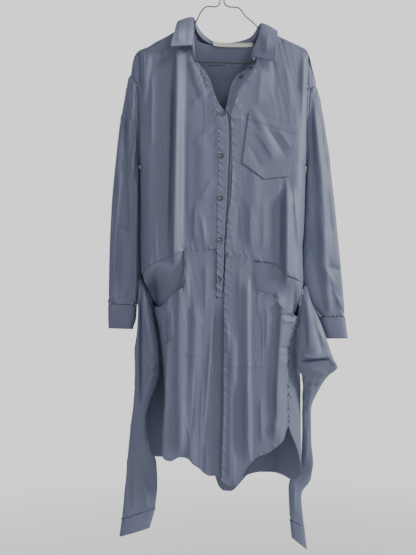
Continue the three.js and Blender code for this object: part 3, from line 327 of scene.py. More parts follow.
# Collar, station by station from the left front round the back to the right front: the neck seam, the
# fold line and the edge of the leaf.
COLLAR = Table("s nx ny nz fx fy fz lx ly lz", [
    [0, -64, -27, -236, -69, -30, -201, -119, -54, -209],
    [1, -67, -21, -190, -66, -29, -164, -111, -50, -176],
    [2, -66.5, -3, -133, -67, -4, -129.5, -103, -5, -139],
    [2.5, -63, 6, -150, -60, 9, -143, -98, 14, -153], [3, -56, 10, -166, -46, 21, -161, -88, 36, -196],
    [4, -29, 17, -186, -20, 32, -178, -32, 46, -258], [5, 1, 19, -189, 1, 35, -181, 1, 48, -268],
    [6, 42, 18, -190, 40, 32, -178, 50, 46, -262], [7, 76, 13, -179, 70, 22, -168, 116, 38, -196],
    [8, 92, -3, -147, 90.5, -4, -143, 129, -4, -161], [9, 85, -18, -192, 83, -26, -184, 127, -39, -204],
    [10, 75.5, -21, -236, 66, -28, -226, 123, -44, -243],
])
CHEST_POCKET = {
    "topLeft": [61, -357], "topRight": [179, -392], "footRight": [153, -507], "foot": [95, -513],
    "footLeft": [45, -475],
}
CLOSED_BUTTONS = [[3, -360], [-1, -459], [-3, -557], [-4, -652], [-6, -743]]
OPEN_BUTTONS = [[68, -247], [46, -271]]
# Neck label: its ends, and its top and foot from the edge of the neck.
LABEL = {"left": -21, "right": 73, "top": 9, "foot": -1}


# Folds and creases laid on each piece: a bent line from x0, z0 through the pull of x1, z1 to
# x2, z2, half width and rise (a trough where negative), skew (above 0: steeper on its left) and the side
# of the cloth that it shows on, -1 front and 1 back.
CREASE = "x0 z0 x1 z1 x2 z2 width rise skew side"

CRISP = 1.35  # how sharply a crease comes to its crest: 2 is round, 1 a knife edge
SIDE_LAP = 2.5  # how far the skirt front runs over the back's strip at the right side seam
SIDE_PRESS = 1.6  # how far that seam is pressed forward and its strip back
SIDE_PRESS_RUN = 10
TUCK = 0.9  # how far one piece runs under its neighbour at a seam
THIN = 0.8  # wall of one layer of cloth
FOLDED = 1.6  # wall of the bands, stand and collar, folded double
EDGE_TURN = 6.0  # width of the narrow hems
SEED = 20


def slant(line, at):
    return np.hypot(1, (line(at + 1) - line(at - 1)) / 2)


def shoulder_z(x):
    return SHOULDER.read(x, "z")


def hip_z(x):
    return HIP_SEAM.read(x, "z")


def yoke_foot_z(x):
    return np.minimum(YOKE_BACK_Z, shoulder_z(x) - YOKE_END_DROP)


def folds(rows, x, z):
    """How far the long folds of a table stand out at each place."""
    total = 0
    for f in rows.rows:
        t = (f["top"] - z) / (f["top"] - f["foot"])
        crest = mix(mix(f["topX"], f["midX"], t), mix(f["midX"], f["footX"], t), t)
        away = x - crest
        flank = smooth(1 - np.where(away < 0, -away / f["leftRun"], away / f["rightRun"]))
        ends = smooth((f["top"] - z) / FOLD_FADE) * smooth((z - f["foot"]) / FOLD_FADE)
        total = total + f["rise"] * flank * ends
    return total


def armhole_depth(z):
    t = 2 * (z - ARMHOLE_FOOT) / (ARMHOLE_TOP - ARMHOLE_FOOT) - 1
    arc = ARMHOLE_HALF_DEPTH * (1 - np.minimum(1, np.abs(t)) ** 3) ** (1 / 3)
    least = np.where(t > 0, ARMHOLE_TOP_DEPTH, EDGE_HALF_DEPTH)
    return np.where(t <= -1, EDGE_HALF_DEPTH, np.maximum(least, arc))


def body_depth(x, z, side):
    full = THICKNESS.read(shoulder_z(x) - z, side)
    edge = np.minimum(armhole_depth(z), full)
    inset = np.minimum(x - SIDES.read(z, "left"), SIDES.read(z, "right") - x)
    return edge + (full - edge) * rounded(inset / ROLL)


def front_y(x, z):
    return -body_depth(x, z, "front") - folds(FRONT_FOLDS, x, z) * rounded((x + 190) / 12)


def front_right_y(x, z):
    return front_y(x, z) - LAP * smooth(1 - (HOLE_SEAM.read(z, "x") - x) / LAP_RUN)


def back_y(x, z):
    return body_depth(x, z, "back") + folds(BACK_FOLDS, x, z)


def button_band_y(x, z):
    edge, seam = BUTTON_EDGE.read(z, "x"), BUTTON_SEAM.read(z, "x")
    return front_y(x, z) + BUTTON_EDGE.read(z, "turn") * smooth((seam - x) / (seam - edge))


def skirt_depth(x, z):
    return THICKNESS.read(SKIRT_RIDGE_Z - z, "front") + folds(SKIRT_FOLDS, x, z)


def skirt_right_y(x, z):
    side, crest = SKIRT_RIGHT.read(z, "side"), SKIRT_RIGHT.read(z, "crest")
    depth = mix(SKIRT_SIDE_DEPTH, skirt_depth(x, z), rounded((x - side) / (crest - side)))
    under = x > SKIRT_RIGHT.read(z, "pleat") + 0.7
    behind = PLEAT_DEPTH - groove(z, BAND_FOOT, PLEAT_RISE_RUN, PLEAT_RISE)
    return -depth + np.where(under, behind + folds(SKIRT_FOLDS, x, z), 0)


def skirt_left_y(x, z):
    fall = smooth((z + 700) / -170)
    edge = mix(HIP_SIDE_DEPTH, SIDE_DEPTH, fall)
    return -mix(edge, skirt_depth(x, z), rounded((SKIRT_LEFT.read(z, "side") - x) / ROLL))


def along(knots, u):
    """Where a straight run through the knots (u, value) lies at u."""
    out = knots[0][1] + 0 * u
    for (u0, x0), (u1, x1) in zip(knots, knots[1:]):
        out = np.where(u >= u0, x0 + (x1 - x0) * clamp((u - u0) / (u1 - u0)), out)
    return out


def meet(across, line, u):
    """The height at which each column u of a panel meets a line z(x)."""
    low, high = 0 * u - 1400.0, 0 * u
    for _ in range(36):
        middle = (low + high) / 2
        below = middle < line(across(u, middle))
        low, high = np.where(below, middle, low), np.where(below, high, middle)
    return (low + high) / 2


def panel(columns, rows, across, top, foot, depth):
    u = np.asarray(columns, float)[:, None]
    head, tail = meet(across, top, u), meet(across, foot, u)
    z = mix(head, tail, np.linspace(0, 1, rows + 1)[None, :])
    x = across(u, z)
    return np.stack([x, depth(x, z), z], -1)


def even(count, *close):
    """Columns from 0 to 1, with more of them round the places given as (place, half width, count)."""
    parts = [np.linspace(0, 1, count + 1)]
    parts += [np.linspace(at - half, at + half, more) for at, half, more in close]
    return np.unique(np.round(np.clip(np.concatenate(parts), 0, 1), 3))


def bend(points, t):
    """A centripetal curve through points (..., n, 3), read at t from 0 to 1."""
    points = np.asarray(points, float)
    count = points.shape[-2]
    first = 2 * points[..., :1, :] - points[..., 1:2, :]
    last = 2 * points[..., -1:, :] - points[..., -2:-1, :]
    path = np.concatenate([first, points, last], -2)
    out = []
    for place in np.asarray(t) * (count - 1):
        i = min(int(place), count - 2)
        p0, p1, p2, p3 = (path[..., i + k, :] for k in range(4))
        d0, d1, d2 = (np.sqrt(np.linalg.norm(b - a, axis=-1, keepdims=True)) for a, b in
                      ((p0, p1), (p1, p2), (p2, p3)))
        m1 = ((p1 - p0) / d0 - (p2 - p0) / (d0 + d1) + (p2 - p1) / d1) * d1
        m2 = ((p2 - p1) / d1 - (p3 - p1) / (d1 + d2) + (p3 - p2) / d2) * d1
        s = place - i
        out.append((2 * s**3 - 3 * s**2 + 1) * p1 + (s**3 - 2 * s**2 + s) * m1
                   + (3 * s**2 - 2 * s**3) * p2 + (s**3 - s**2) * m2)
    return np.stack(out, -2)


def normals(grid, facing, ring=False):
    if ring:
        across = np.roll(grid, -1, 0) - np.roll(grid, 1, 0)
    else:
        across = np.gradient(grid, axis=0)
    out = np.cross(across, np.gradient(grid, axis=1)) * facing
    return out / np.maximum(np.linalg.norm(out, axis=-1, keepdims=True), 1e-9)


def crease_field(rows, grid, normal):
    """The height of the listed creases at each point of a surface."""
    x, z = grid[..., 0], grid[..., 2]
    total = np.zeros(x.shape)
    for r in rows.rows:
        t = np.linspace(0, 1, 11)
        cx = (1 - t) ** 2 * r["x0"] + 2 * t * (1 - t) * r["x1"] + t * t * r["x2"]
        cz = (1 - t) ** 2 * r["z0"] + 2 * t * (1 - t) * r["z1"] + t * t * r["z2"]
        reach = 2.6 * r["width"]
        near = (x > cx.min() - reach) & (x < cx.max() + reach)
        near &= (z > cz.min() - reach) & (z < cz.max() + reach)
        if not near.any():
            continue
        px, pz = x[near], z[near]
        best, place, hand = np.full(px.shape, 1e9), np.zeros(px.shape), np.zeros(px.shape)
        for i in range(10):
            dx, dz = cx[i + 1] - cx[i], cz[i + 1] - cz[i]
            s = clamp(((px - cx[i]) * dx + (pz - cz[i]) * dz) / (dx * dx + dz * dz + 1e-9))
            ax, az = px - cx[i] - s * dx, pz - cz[i] - s * dz
            gap = np.hypot(ax, az)
            closer = gap < best
            best = np.where(closer, gap, best)
            place = np.where(closer, (i + s) / 10, place)
            hand = np.where(closer, np.sign(ax + 1e-9), hand)
        width = r["width"] * np.where(hand < 0, 1 - 0.6 * r["skew"], 1 + 0.6 * r["skew"])
        ends = smooth(place / 0.3) * smooth((1 - place) / 0.3)
        facing = smooth(r["side"] * normal[..., 1][near] * 1.6)
        total[near] += r["rise"] * np.exp(-((best / width) ** CRISP)) * ends * facing
    return total


def ripple(s, pitch, seed):
    """An uneven wave along a seam."""
    phase = np.random.default_rng(seed).uniform(0, 2 * math.pi, 3)
    waves = [np.sin(2 * math.pi * s / (pitch * k) + p) for k, p in zip((1, 1.63, 2.71), phase)]
    return (waves[0] + waves[1] + 0.8 * waves[2]) / 2.2


def wander(grid, seed, size, lean=2.5):
    """Soft unevenness of hanging cloth, drawn out downward."""
    rng = np.random.default_rng(seed)
    total = 0
    for _ in range(10):
        angle = rng.uniform(-0.5, 0.5)
        pitch = size * rng.uniform(0.6, 1.8)
        wave = math.cos(angle) * (grid[..., 0] + 0.7 * grid[..., 1]) + math.sin(angle) / lean * grid[..., 2]
        total = total + np.sin(2 * math.pi * wave / pitch + rng.uniform(0, 6.3) + 0.9 * np.sin(
            grid[..., 2] / (size * 2.2) + rng.uniform(0, 6.3)))
    return total / 10


def edge_distance(grid, side):
    """How far each point lies from one edge."""
    axis = 0 if side in ("first", "last") else 1
    step = np.linalg.norm(np.diff(grid, axis=axis), axis=-1)
    lengths = np.cumsum(step, axis=axis)
    zero = np.zeros_like(np.take(lengths, [0], axis))
    from_start = np.concatenate([zero, lengths], axis)
    if side in ("first", "top"):
        return from_start
    return np.take(from_start, [-1], axis) - from_start


class Cloth:
    """One piece of cloth as a grid of points, worked on in turn and then written as a thin shell."""

    def __init__(self, name, grid, facing, ring=False, thick=THIN):
        self.name, self.grid, self.facing, self.ring, self.thick = name, grid, facing, ring, thick

    def push(self, height):
        height = np.asarray(height)[..., None]
        self.grid = self.grid + normals(self.grid, self.facing, self.ring) * height
        return self

    def crease(self, rows):
        return self.push(crease_field(rows, self.grid, normals(self.grid, self.facing, self.ring)))

    def uneven(self, seed, rise, size=70):
        return self.push(rise * wander(self.grid, seed, size))

    def crinkle(self, seed, rise, size=46, fine=0.05):
        """Thin creases that wind over the cloth, each no longer than its fold."""
        line = np.exp(-((wander(self.grid, seed, size) / fine) ** 2))
        strength = clamp(0.5 + 1.8 * wander(self.grid, seed + 100, 3 * size, 1.2))
        return self.push(rise * line * strength)

    def pucker(self, side, rise, pitch=13, reach=9, seed=1, inset=0):
        away = edge_distance(self.grid, side)
        run = self.grid[..., 2 if side in ("first", "last") else 0]
        fade = np.exp(-(((away - inset) / reach) ** 2))
        return self.push(rise * ripple(run + 0.7 * away, pitch, seed) * fade)

    def hem(self, side, width=EDGE_TURN, rise=0.5):
        """A turned edge: a step up to it, with a groove at its stitching."""
        away = edge_distance(self.grid, side)
        return self.push(rise * smooth((width - away) / 2.0) - groove(away, width - 1.2, 1.1, 0.5))

    def line(self, side, inset, lift=0.12):
        """Points along one edge, a given way in from it and just above the cloth."""
        away = edge_distance(self.grid, side)
        above = self.grid + normals(self.grid, self.facing, self.ring) * lift
        axis = 0 if side in ("first", "last") else 1
        if axis == 0:
            away, above = away.T, above.transpose(1, 0, 2)
        points = []
        for distance, row in zip(away, above):
            order = np.argsort(distance)
            points.append([np.interp(inset, distance[order], row[order, k]) for k in range(3)])
        return np.array(points)

    def write(self, slot, material):
        points, nu, nv = self.grid, *self.grid.shape[:2]
        normal = normals(points, self.facing, self.ring)
        both = np.concatenate([points.reshape(-1, 3), (points - normal * self.thick).reshape(-1, 3)])
        i, j = np.meshgrid(np.arange(nu if self.ring else nu - 1), np.arange(nv - 1), indexing="ij")
        i, j = i.ravel(), j.ravel()
        k = i + 1
        wrap = k % nu

        def at(a, b):
            return a * nv + b

        outer = np.stack([at(i, j), at(wrap, j), at(wrap, j + 1), at(i, j + 1)], 1)
        corner = [np.stack([i, k, k, i], 1), np.stack([j, j, j + 1, j + 1], 1)]
        inner = outer[:, ::-1] + nu * nv
        rims, rim_uv = [], []

        def rim(a, b, ca, cb):
            rims.append(np.stack([a, a + nu * nv, b + nu * nv, b], 1))
            rim_uv.append(np.stack([ca, ca, cb, cb], 1))

        a = np.arange(nu if self.ring else nu - 1)
        b = (a + 1) % nu
        low, high = np.zeros_like(a), np.full_like(a, nv - 1)
        rim(at(a, low), at(b, low), np.stack([a, low], 1), np.stack([a + 1, low], 1))
        rim(at(b, high), at(a, high), np.stack([a + 1, high], 1), np.stack([a, high], 1))
        if not self.ring:
            c = np.arange(nv - 1)
            left, right = np.zeros_like(c), np.full_like(c, nu - 1)
            rim(at(left, c + 1), at(left, c), np.stack([left, c + 1], 1), np.stack([left, c], 1))
            rim(at(right, c), at(right, c + 1), np.stack([right, c], 1), np.stack([right, c + 1], 1))
        faces = np.concatenate([outer, inner, *rims])
        grid_u = np.concatenate([outer * 0 + corner[0], (corner[0])[:, ::-1], *[r[..., 0] for r in rim_uv]])
        grid_v = np.concatenate([outer * 0 + corner[1], (corner[1])[:, ::-1], *[r[..., 1] for r in rim_uv]])
        if self.facing < 0:
            faces, grid_u, grid_v = faces[:, ::-1], grid_u[:, ::-1], grid_v[:, ::-1]
        middle = nv // 2
        ring_points = np.concatenate([points[:, middle], points[:1, middle]])
        u_length = np.concatenate([[0], np.cumsum(np.linalg.norm(np.diff(ring_points, axis=0), axis=1))])
        column = points[nu // 2]
        v_length = np.concatenate([[0], np.cumsum(np.linalg.norm(np.diff(column, axis=0), axis=1))])
        mesh = bpy.data.meshes.new(self.name)
        mesh.from_pydata((both * MM).tolist(), [], faces.tolist())
        uv = mesh.uv_layers.new(name="Cloth")
        flat = np.stack([u_length[grid_u.ravel()], v_length[grid_v.ravel()]], 1) * MM
        uv.data.foreach_set("uv", flat.ravel().astype(np.float32))
        mesh.polygons.foreach_set("use_smooth", np.ones(len(faces), bool))
        mesh.update()
        return place(self.name, mesh, slot, material)


def place(name, mesh, slot, material):
    """Links a finished mesh, gives it its material and lets it ride on the one body."""
    obj = bpy.data.objects.new(name, mesh)
    bpy.context.scene.collection.objects.link(obj)
    mesh.materials.append(material)
    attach(obj, "root")
    return obj


FRONT_RIGHT_CREASES = Table(CREASE, [
    [-104, -196, -106, -450, -113, -722, 7, 6, 0.6, -1],
    [-112, -214, -115, -450, -121, -716, 5, -4.9, 0.3, -1],
    [-125, -186, -130, -205, -139, -226, 6, 3.1, 0.2, -1],
    [-166, -236, -160, -350, -165, -470, 8, 3.1, 0.3, -1],
    [-146, -370, -140, -500, -142, -660, 9, -2.5, 0, -1],
    [-150, -560, -156, -640, -150, -712, 7, 3.4, 0.3, -1],
    [-92, -330, -84, -480, -90, -640, 9, -2.8, 0, -1], [-17, -505, -34, -530, -52, -562, 7, 2.2, 0.2, -1],
    [-63, -664, -66, -620, -60, -560, 7, 3.1, 0.2, -1],
    [-40, -664, -42, -630, -48, -590, 6, 2.5, -0.2, -1], [-30, -300, -52, -318, -74, -350, 8, 2.5, 0, -1],
    [-20, -390, -44, -404, -70, -440, 8, 2.1, 0.2, -1],
    [-188, -360, -184, -480, -187, -620, 5, 2.5, 0, -1],
    [-196, -200, -197, -250, -191, -310, 5, -6, -0.4, -1],
    [-182, -206, -180, -250, -184, -300, 4, 3.6, 0.3, -1],
])
FRONT_LEFT_CREASES = Table(CREASE, [
    [148, -500, 147, -620, 146, -760, 7, 6.0, 0.6, -1],
    [139, -500, 138, -620, 137, -756, 5, -4.2, 0.3, -1],
    [8, -361, 24, -354, 46, -340, 4, 2.4, 0, -1],
    [12, -368, 32, -370, 58, -376, 4, 2.1, 0, -1],
    [14, -352, 24, -338, 34, -316, 5, 2.0, 0, -1],
    [24, -470, 21, -530, 13, -600, 4.5, 2.4, 0, -1],
    [160, -505, 170, -640, 186, -712, 7, 3.6, 0.3, -1],
    [94, -238, 86, -300, 82, -352, 11, 3.1, 0.2, -1],
    [146, -236, 156, -300, 160, -372, 10, 2.5, 0.3, -1],
    [184, -224, 188, -300, 184, -380, 7, 3.4, 0.3, -1],
    [116, -214, 124, -262, 120, -330, 9, -2.5, 0, -1],
    [42, -540, 34, -610, 32, -676, 10, -2.5, 0, -1],
    [92, -545, 96, -620, 92, -690, 11, 3.1, 0.2, -1],
    [66, -560, 62, -620, 64, -680, 8, 2.2, 0.2, -1],
    [120, -560, 122, -640, 118, -700, 8, -2.5, 0, -1],
    [204, -206, 204, -260, 196, -330, 5, -6.0, 0.4, -1],
    [190, -210, 191, -260, 186, -330, 4, 3.4, -0.3, -1],
])
BACK_CREASES = Table(CREASE, [
    [-190, -330, -160, -360, -120, -372, 9, 3.6, 0.2, 1],
    [-192, -420, -150, -440, -96, -480, 10, 3.1, 0.2, 1],
    [190, -340, 160, -372, 122, -380, 9, 3.6, 0.2, 1], [192, -440, 158, -470, 112, -520, 10, 2.8, 0.2, 1],
    [-70, -300, -76, -420, -66, -560, 9, -3.1, 0, 1], [64, -280, 70, -420, 60, -560, 9, -2.8, 0, 1],
    [-20, -480, -12, -600, -22, -712, 8, 3.4, 0.2, 1], [150, -520, 146, -620, 152, -712, 8, 3.1, 0.3, 1],
    [-160, -520, -154, -620, -160, -712, 8, 3.1, 0.3, 1],
])
SKIRT_RIGHT_CREASES = Table(CREASE, [
    [-128, -812, -134, -850, -128, -900, 6, -3.4, 0, -1],
    [-116, -806, -118, -850, -112, -905, 6, 2.8, 0.2, -1],
    [-104, -880, -124, -880, -146, -892, 5, -3.6, 0, -1],
    [-98, -912, -60, -915, -34, -913, 3, 1.3, 0, -1],
    [-80, -690, -84, -740, -78, -800, 8, 2.8, 0.2, -1],
    [-40, -690, -36, -760, -42, -840, 7, 2.8, 0.2, -1],
    [-60, -930, -64, -1020, -74, -1120, 8, -3.6, 0, -1],
    [-96, -1000, -92, -1080, -100, -1150, 8, 3.4, 0.2, -1],
    [-44, -960, -52, -1060, -50, -1150, 6, 2.8, 0.2, -1],
    [-24, -830, -32, -960, -46, -1120, 5, 2.5, 0.4, -1],
])
SKIRT_LEFT_CREASES = Table(CREASE, [
    [118, -826, 146, -824, 176, -831, 4, -3.6, 0, -1], [134, -838, 152, -836, 172, -842, 4.5, 3.4, 0, -1],
    [130, -902, 148, -899, 168, -903, 4, -3.6, 0, -1], [136, -916, 144, -950, 150, -990, 6, 3.6, 0.3, -1],
    [104, -946, 112, -1018, 126, -1092, 8, -4, 0, -1], [56, -956, 60, -1050, 57, -1136, 6, 4.5, -0.4, -1],
    [2, -940, 54, -938, 108, -941, 3, 1.3, 0, -1], [100, -790, 104, -850, 98, -912, 8, 3.1, 0.3, -1],
    [40, -700, 36, -790, 42, -880, 8, 2.8, 0.3, -1], [24, -960, 30, -1060, 22, -1180, 8, -3.4, 0, -1],
    [88, -1000, 86, -1070, 92, -1130, 7, 3.1, 0.2, -1], [8, -830, 16, -880, 10, -930, 5, 2.8, 0, -1],
])
SKIRT_BACK_CREASES = Table(CREASE, [
    [-80, -720, -84, -860, -74, -1000, 10, 4.2, 0.2, 1],
    [6, -720, 10, -880, 2, -1060, 11, 4.2, 0.3, 1],
    [82, -720, 88, -860, 80, -1020, 10, 3.9, 0.2, 1],
    [-150, -760, -146, -900, -152, -1060, 9, 3.6, 0.2, 1],
    [150, -760, 156, -900, 148, -1060, 9, 3.6, -0.2, 1],
    [-104, -960, -96, -1060, -100, -1170, 9, -3.6, 0, 1],
    [30, -1000, 36, -1110, 28, -1230, 9, -3.9, 0, 1],
    [98, -980, 92, -1080, 98, -1190, 9, -3.6, 0, 1],
])
SLEEVE_RIGHT_CREASES = Table(CREASE, [
    [-207, -262, -204, -330, -214, -408, 8, 5, 0.3, -1],
    [-216, -262, -219, -520, -208, -700, 6, 5, 0.5, -1],
    [-224, -300, -231, -520, -224, -700, 5, -4, 0.2, -1],
    [-221, -300, -228, -380, -226, -460, 9, -3.4, 0, -1],
    [-249, -540, -253, -660, -252, -770, 5, 3.6, 0, -1],
    [-243, -600, -242, -700, -243, -796, 4.5, -3.9, 0, -1],
    [-240, -618, -231, -622, -220, -632, 4, -4.5, 0, -1],
    [-232, -640, -228, -710, -232, -780, 7, 2.8, 0.2, -1],
    [-214, -690, -216, -740, -212, -798, 5, 3.4, 0, -1],
    [-224, -760, -226, -780, -222, -802, 4, -3.4, 0, -1],
    [-238, -400, -244, -450, -242, -520, 7, 2.5, 0.2, -1],
    [-216, -420, -232, -470, -246, -520, 8, 3.6, 0.2, 1],
    [-214, -560, -228, -600, -250, -640, 8, 3.4, 0.2, 1],
    [-236, -650, -234, -720, -240, -796, 6, -3.6, 0, 1],
    [-218, -640, -216, -720, -220, -796, 6, 3.6, 0, 1],
])
SLEEVE_LEFT_CREASES = Table(CREASE, [
    [214, -296, 222, -480, 238, -716, 6, 4.2, 0.4, -1],
    [243, -715, 260, -716, 282, -722, 5, -5.0, 0, -1],
    [236, -700, 262, -760, 288, -836, 7, 4.6, 0.2, -1],
    [224, -700, 238, -750, 250, -800, 7, -4.2, 0, -1],
    [208, -320, 210, -440, 212, -560, 6, -3.1, 0, -1],
    [254, -748, 266, -770, 278, -794, 5, -3.1, 0, -1],
    [232, -330, 244, -420, 250, -500, 8, 3.1, 0.2, -1],
    [240, -520, 252, -580, 256, -650, 8, -2.8, 0, -1],
    [224, -560, 228, -620, 236, -660, 7, 2.8, 0.2, -1],
    [246, -800, 252, -816, 256, -832, 4, 3.6, 0, -1],
    [212, -420, 230, -470, 250, -510, 8, 3.6, 0.2, 1],
    [216, -580, 238, -620, 262, -650, 8, 3.4, 0.2, 1],
    [240, -680, 246, -750, 258, -824, 6, -3.6, 0, 1],
])
TIE_RIGHT_CREASES = Table(CREASE, [
    [-182, -780, -172, -860, -168, -940, 7, 3.6, 0.3, -1],
    [-176, -925, -164, -920, -150, -936, 5, -4, 0, -1],
    [-186, -760, -176, -860, -150, -930, 5, 4, 0.3, -1],
    [-190, -742, -189, -900, -190, -1070, 3.5, -9, 0, -1],
    [-183, -746, -182, -900, -185, -1060, 4, 6, 0.5, -1],
    [-170, -958, -164, -950, -154, -944, 3, 4, 0, -1], [-176, -984, -166, -972, -158, -968, 3, 4, 0, -1],
    [-182, -1060, -186, -1120, -176, -1180, 5, 4.9, 0.2, -1],
    [-202, -1140, -190, -1190, -168, -1230, 4, -4, 0, -1],
    [-188, -920, -176, -936, -156, -960, 5, 3.4, 0, -1],
    [-198, -860, -192, -960, -196, -1060, 6, 3.1, 0.2, -1],
    [-204, -1060, -198, -1150, -204, -1240, 7, 3.6, 0.3, -1],
    [-184, -1100, -178, -1180, -168, -1250, 6, -3.6, 0, -1],
    [-190, -1180, -178, -1230, -172, -1290, 6, 3.6, 0, -1],
    [-214, -1180, -214, -1240, -222, -1300, 6, -3.1, 0, -1],
    [-196, -900, -204, -1000, -200, -1100, 7, 3.6, 0.2, 1],
    [-200, -1140, -192, -1210, -196, -1290, 7, 3.6, 0.2, 1],
])
TIE_LEFT_CREASES = Table(CREASE, [
    [194, -780, 198, -850, 196, -920, 6, 3.6, 0.3, -1],
    [214, -830, 222, -880, 230, -926, 7, -3.1, 0, -1],
    [172, -918, 214, -926, 252, -912, 3.5, 6.5, 0, -1],
    [172, -927, 214, -935, 256, -922, 3.5, -11, 0, -1],
    [236, -912, 250, -930, 262, -944, 4, 4.0, 0, -1],
    [204, -800, 214, -850, 236, -900, 5, 4.2, 0.3, -1],
    [186, -830, 192, -870, 190, -910, 4, -3.6, 0, -1],
    [192, -946, 220, -954, 244, -962, 5, 3.1, 0, -1],
    [186, -984, 204, -992, 222, -984, 4, -3.4, 0, -1],
    [210, -970, 202, -1020, 198, -1060, 6, 3.4, 0, -1],
    [198, -1080, 200, -1130, 198, -1180, 5, 2.8, 0.2, -1],
    [176, -1230, 170, -1260, 176, -1310, 5, 3.1, 0.2, -1],
    [196, -860, 214, -900, 236, -920, 7, 3.4, 0.2, 1],
    [198, -1060, 202, -1120, 198, -1170, 5, 2.8, 0.2, 1],
])
COLLAR_CREASES = Table(CREASE, [
    [-100, -150, -96, -175, -104, -200, 6, 2.2, 0, -1], [-84, -140, -80, -170, -88, -200, 6, -2, 0, -1],
    [108, -172, 100, -196, 104, -224, 6, 2.2, 0, -1], [88, -170, 84, -200, 92, -232, 6, -2, 0, -1],
    [-60, -222, -30, -236, 10, -240, 8, 2.5, 0, 1], [30, -238, 60, -232, 92, -214, 8, 2.5, 0, 1],
])
CHEST_POCKET_CREASES = Table(CREASE, [
    [72, -392, 100, -430, 124, -478, 9, 3.4, 0.2, -1],
    [96, -384, 128, -424, 150, -470, 8, -2.7, 0, -1],
    [124, -392, 146, -420, 160, -446, 8, 2.8, 0.2, -1],
    [60, -430, 76, -460, 92, -492, 8, -2.1, 0, -1],
])

# Sets of seams that the stitches are later run along: lines of points in millimetres.
SEAM_LINES = []


def stitched(cloth, *rows):
    for side, inset in rows:
        SEAM_LINES.append(cloth.line(side, inset))
    return cloth


def front_top(x):
    return shoulder_z(x) - YOKE_FRONT + TUCK


def hip_top(x):
    return hip_z(x) - TUCK * slant(hip_z, x)


def hip_foot(x):
    return hip_z(x) + TUCK * slant(hip_z, x)


def lay(material, slot="shirting", **pieces):
    """Writes each piece over the solid of its name, and hides that solid."""
    for node, piece in pieces.items():
        obj = piece.write(slot, material)
        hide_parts(node)


def level(height):
    """A line of one height all across."""
    return lambda x: 0 * x + height


def reader(table, name):
    """One column of a table as a function of its key."""
    return lambda at: table.read(at, name)


def beside(left, right):
    """Runs across a panel between its left and right edges."""
    return lambda u, z: mix(left(z), right(z), u)


LEFT_SIDE = reader(SIDES, "left")
RIGHT_SIDE = reader(SIDES, "right")


def under_hole_band(z):
    return HOLE_SEAM.read(z, "x") + TUCK


def under_button_band(z):
    return BUTTON_SEAM.read(z, "x") - TUCK


def back_top(x):
    return yoke_foot_z(x) + TUCK


def make_body(cloth):
    columns = even(100, (0.02, 0.02, 10), (0.47, 0.05, 16))
    across = beside(LEFT_SIDE, under_hole_band)
    grid = panel(columns, 150, across, front_top, hip_top, front_right_y)
    right = Cloth("front_right_cloth", grid, -1).uneven(SEED, 1.0).crinkle(SEED, 0.9)
    right.crease(FRONT_RIGHT_CREASES)
    right.pucker("last", 1.3, 10, 10, 12).pucker("foot", 1.0, 14, 12, 4).pucker("top", 0.8, 15, 10, 5)
    stitched(right, ("top", 2.5), ("foot", 2.0), ("foot", 8.0))
    across = beside(under_button_band, RIGHT_SIDE)
    grid = panel(even(100, (0.98, 0.02, 10)), 150, across, front_top, hip_top, front_y)
    left = Cloth("front_left_cloth", grid, -1).uneven(SEED, 1.0).crinkle(SEED, 0.9).crease(FRONT_LEFT_CREASES)
    left.crease(CHEST_POCKET_CREASES).pucker("first", 1.3, 11, 9, 15)
    left.pucker("foot", 1.0, 14, 12, 4).pucker("top", 0.8, 15, 10, 8)
    stitched(left, ("top", 2.5), ("foot", 2.0), ("foot", 8.0))
    grid = panel(even(120), 110, beside(LEFT_SIDE, RIGHT_SIDE), back_top, level(HIP_BACK_Z - TUCK), back_y)
    back = Cloth("back_cloth", grid, 1).uneven(SEED + 1, 1.4, 90).crinkle(SEED + 1, 1.0, 60)
    back.crease(BACK_CREASES)
    back.pucker("top", 0.8, 16, 12, 9).pucker("foot", 0.9, 15, 12, 25)
    stitched(back, ("top", 2.5), ("foot", 2.5))
    yoke = Cloth("yoke_cloth", yoke_grid(), 1, thick=1.0).uneven(SEED + 2, 0.35, 60)
    stitched(yoke, ("top", 2.0), ("foot", 2.0))
    lay(cloth, front_right=right, front_left=left, back=back, yoke=yoke)


def yoke_grid():
    """Over the ridge from the front seam, then down to the seam across the back, open at the neck."""
    columns = even(84, (0.3325, 0.004, 9), (0.7075, 0.004, 9), (0.01, 0.01, 5), (0.99, 0.01, 5))[:, None]

    across = beside(LEFT_SIDE, RIGHT_SIDE)
    ridge = meet(across, shoulder_z, columns)
    feet = meet(across, yoke_foot_z, columns)
    grid = []
    for u, top, foot in zip(columns[:, 0], ridge[:, 0], feet[:, 0]):
        x0 = float(across(u, top))
        front = -float(body_depth(x0, top - YOKE_FRONT, "front"))
        behind = min(9.0, float(body_depth(x0, top - 8, "back")))
        path = np.array([[front, top - YOKE_FRONT - TUCK], [front * 0.68, top - 2.4], [0, top],
                         [behind * 0.6, top - 2.4], [behind, top - 8],
                         [float(body_depth(x0, foot, "back")), foot - TUCK]])
        reach = np.concatenate([[0], np.cumsum(np.linalg.norm(np.diff(path, axis=0), axis=1))])
        start = 0.0
        if NECK.key[0] < x0 < NECK.key[-1]:
            part = (float(NECK.read(x0, "z")) - path[4, 1]) / (path[5, 1] - path[4, 1])
            start = max(reach[3], mix(reach[4], reach[5], part))
        r = mix(start, reach[5], np.linspace(0, 1, 49))
        y, z = np.interp(r, reach, path[:, 0]), np.interp(r, reach, path[:, 1])
        for _ in range(6):
            y[1:-1] = (y[:-2] + 2 * y[1:-1] + y[2:]) / 4
            z[1:-1] = (z[:-2] + 2 * z[1:-1] + z[2:]) / 4
        grid.append(np.stack([across(u, z), y, z], -1))
    return np.array(grid)


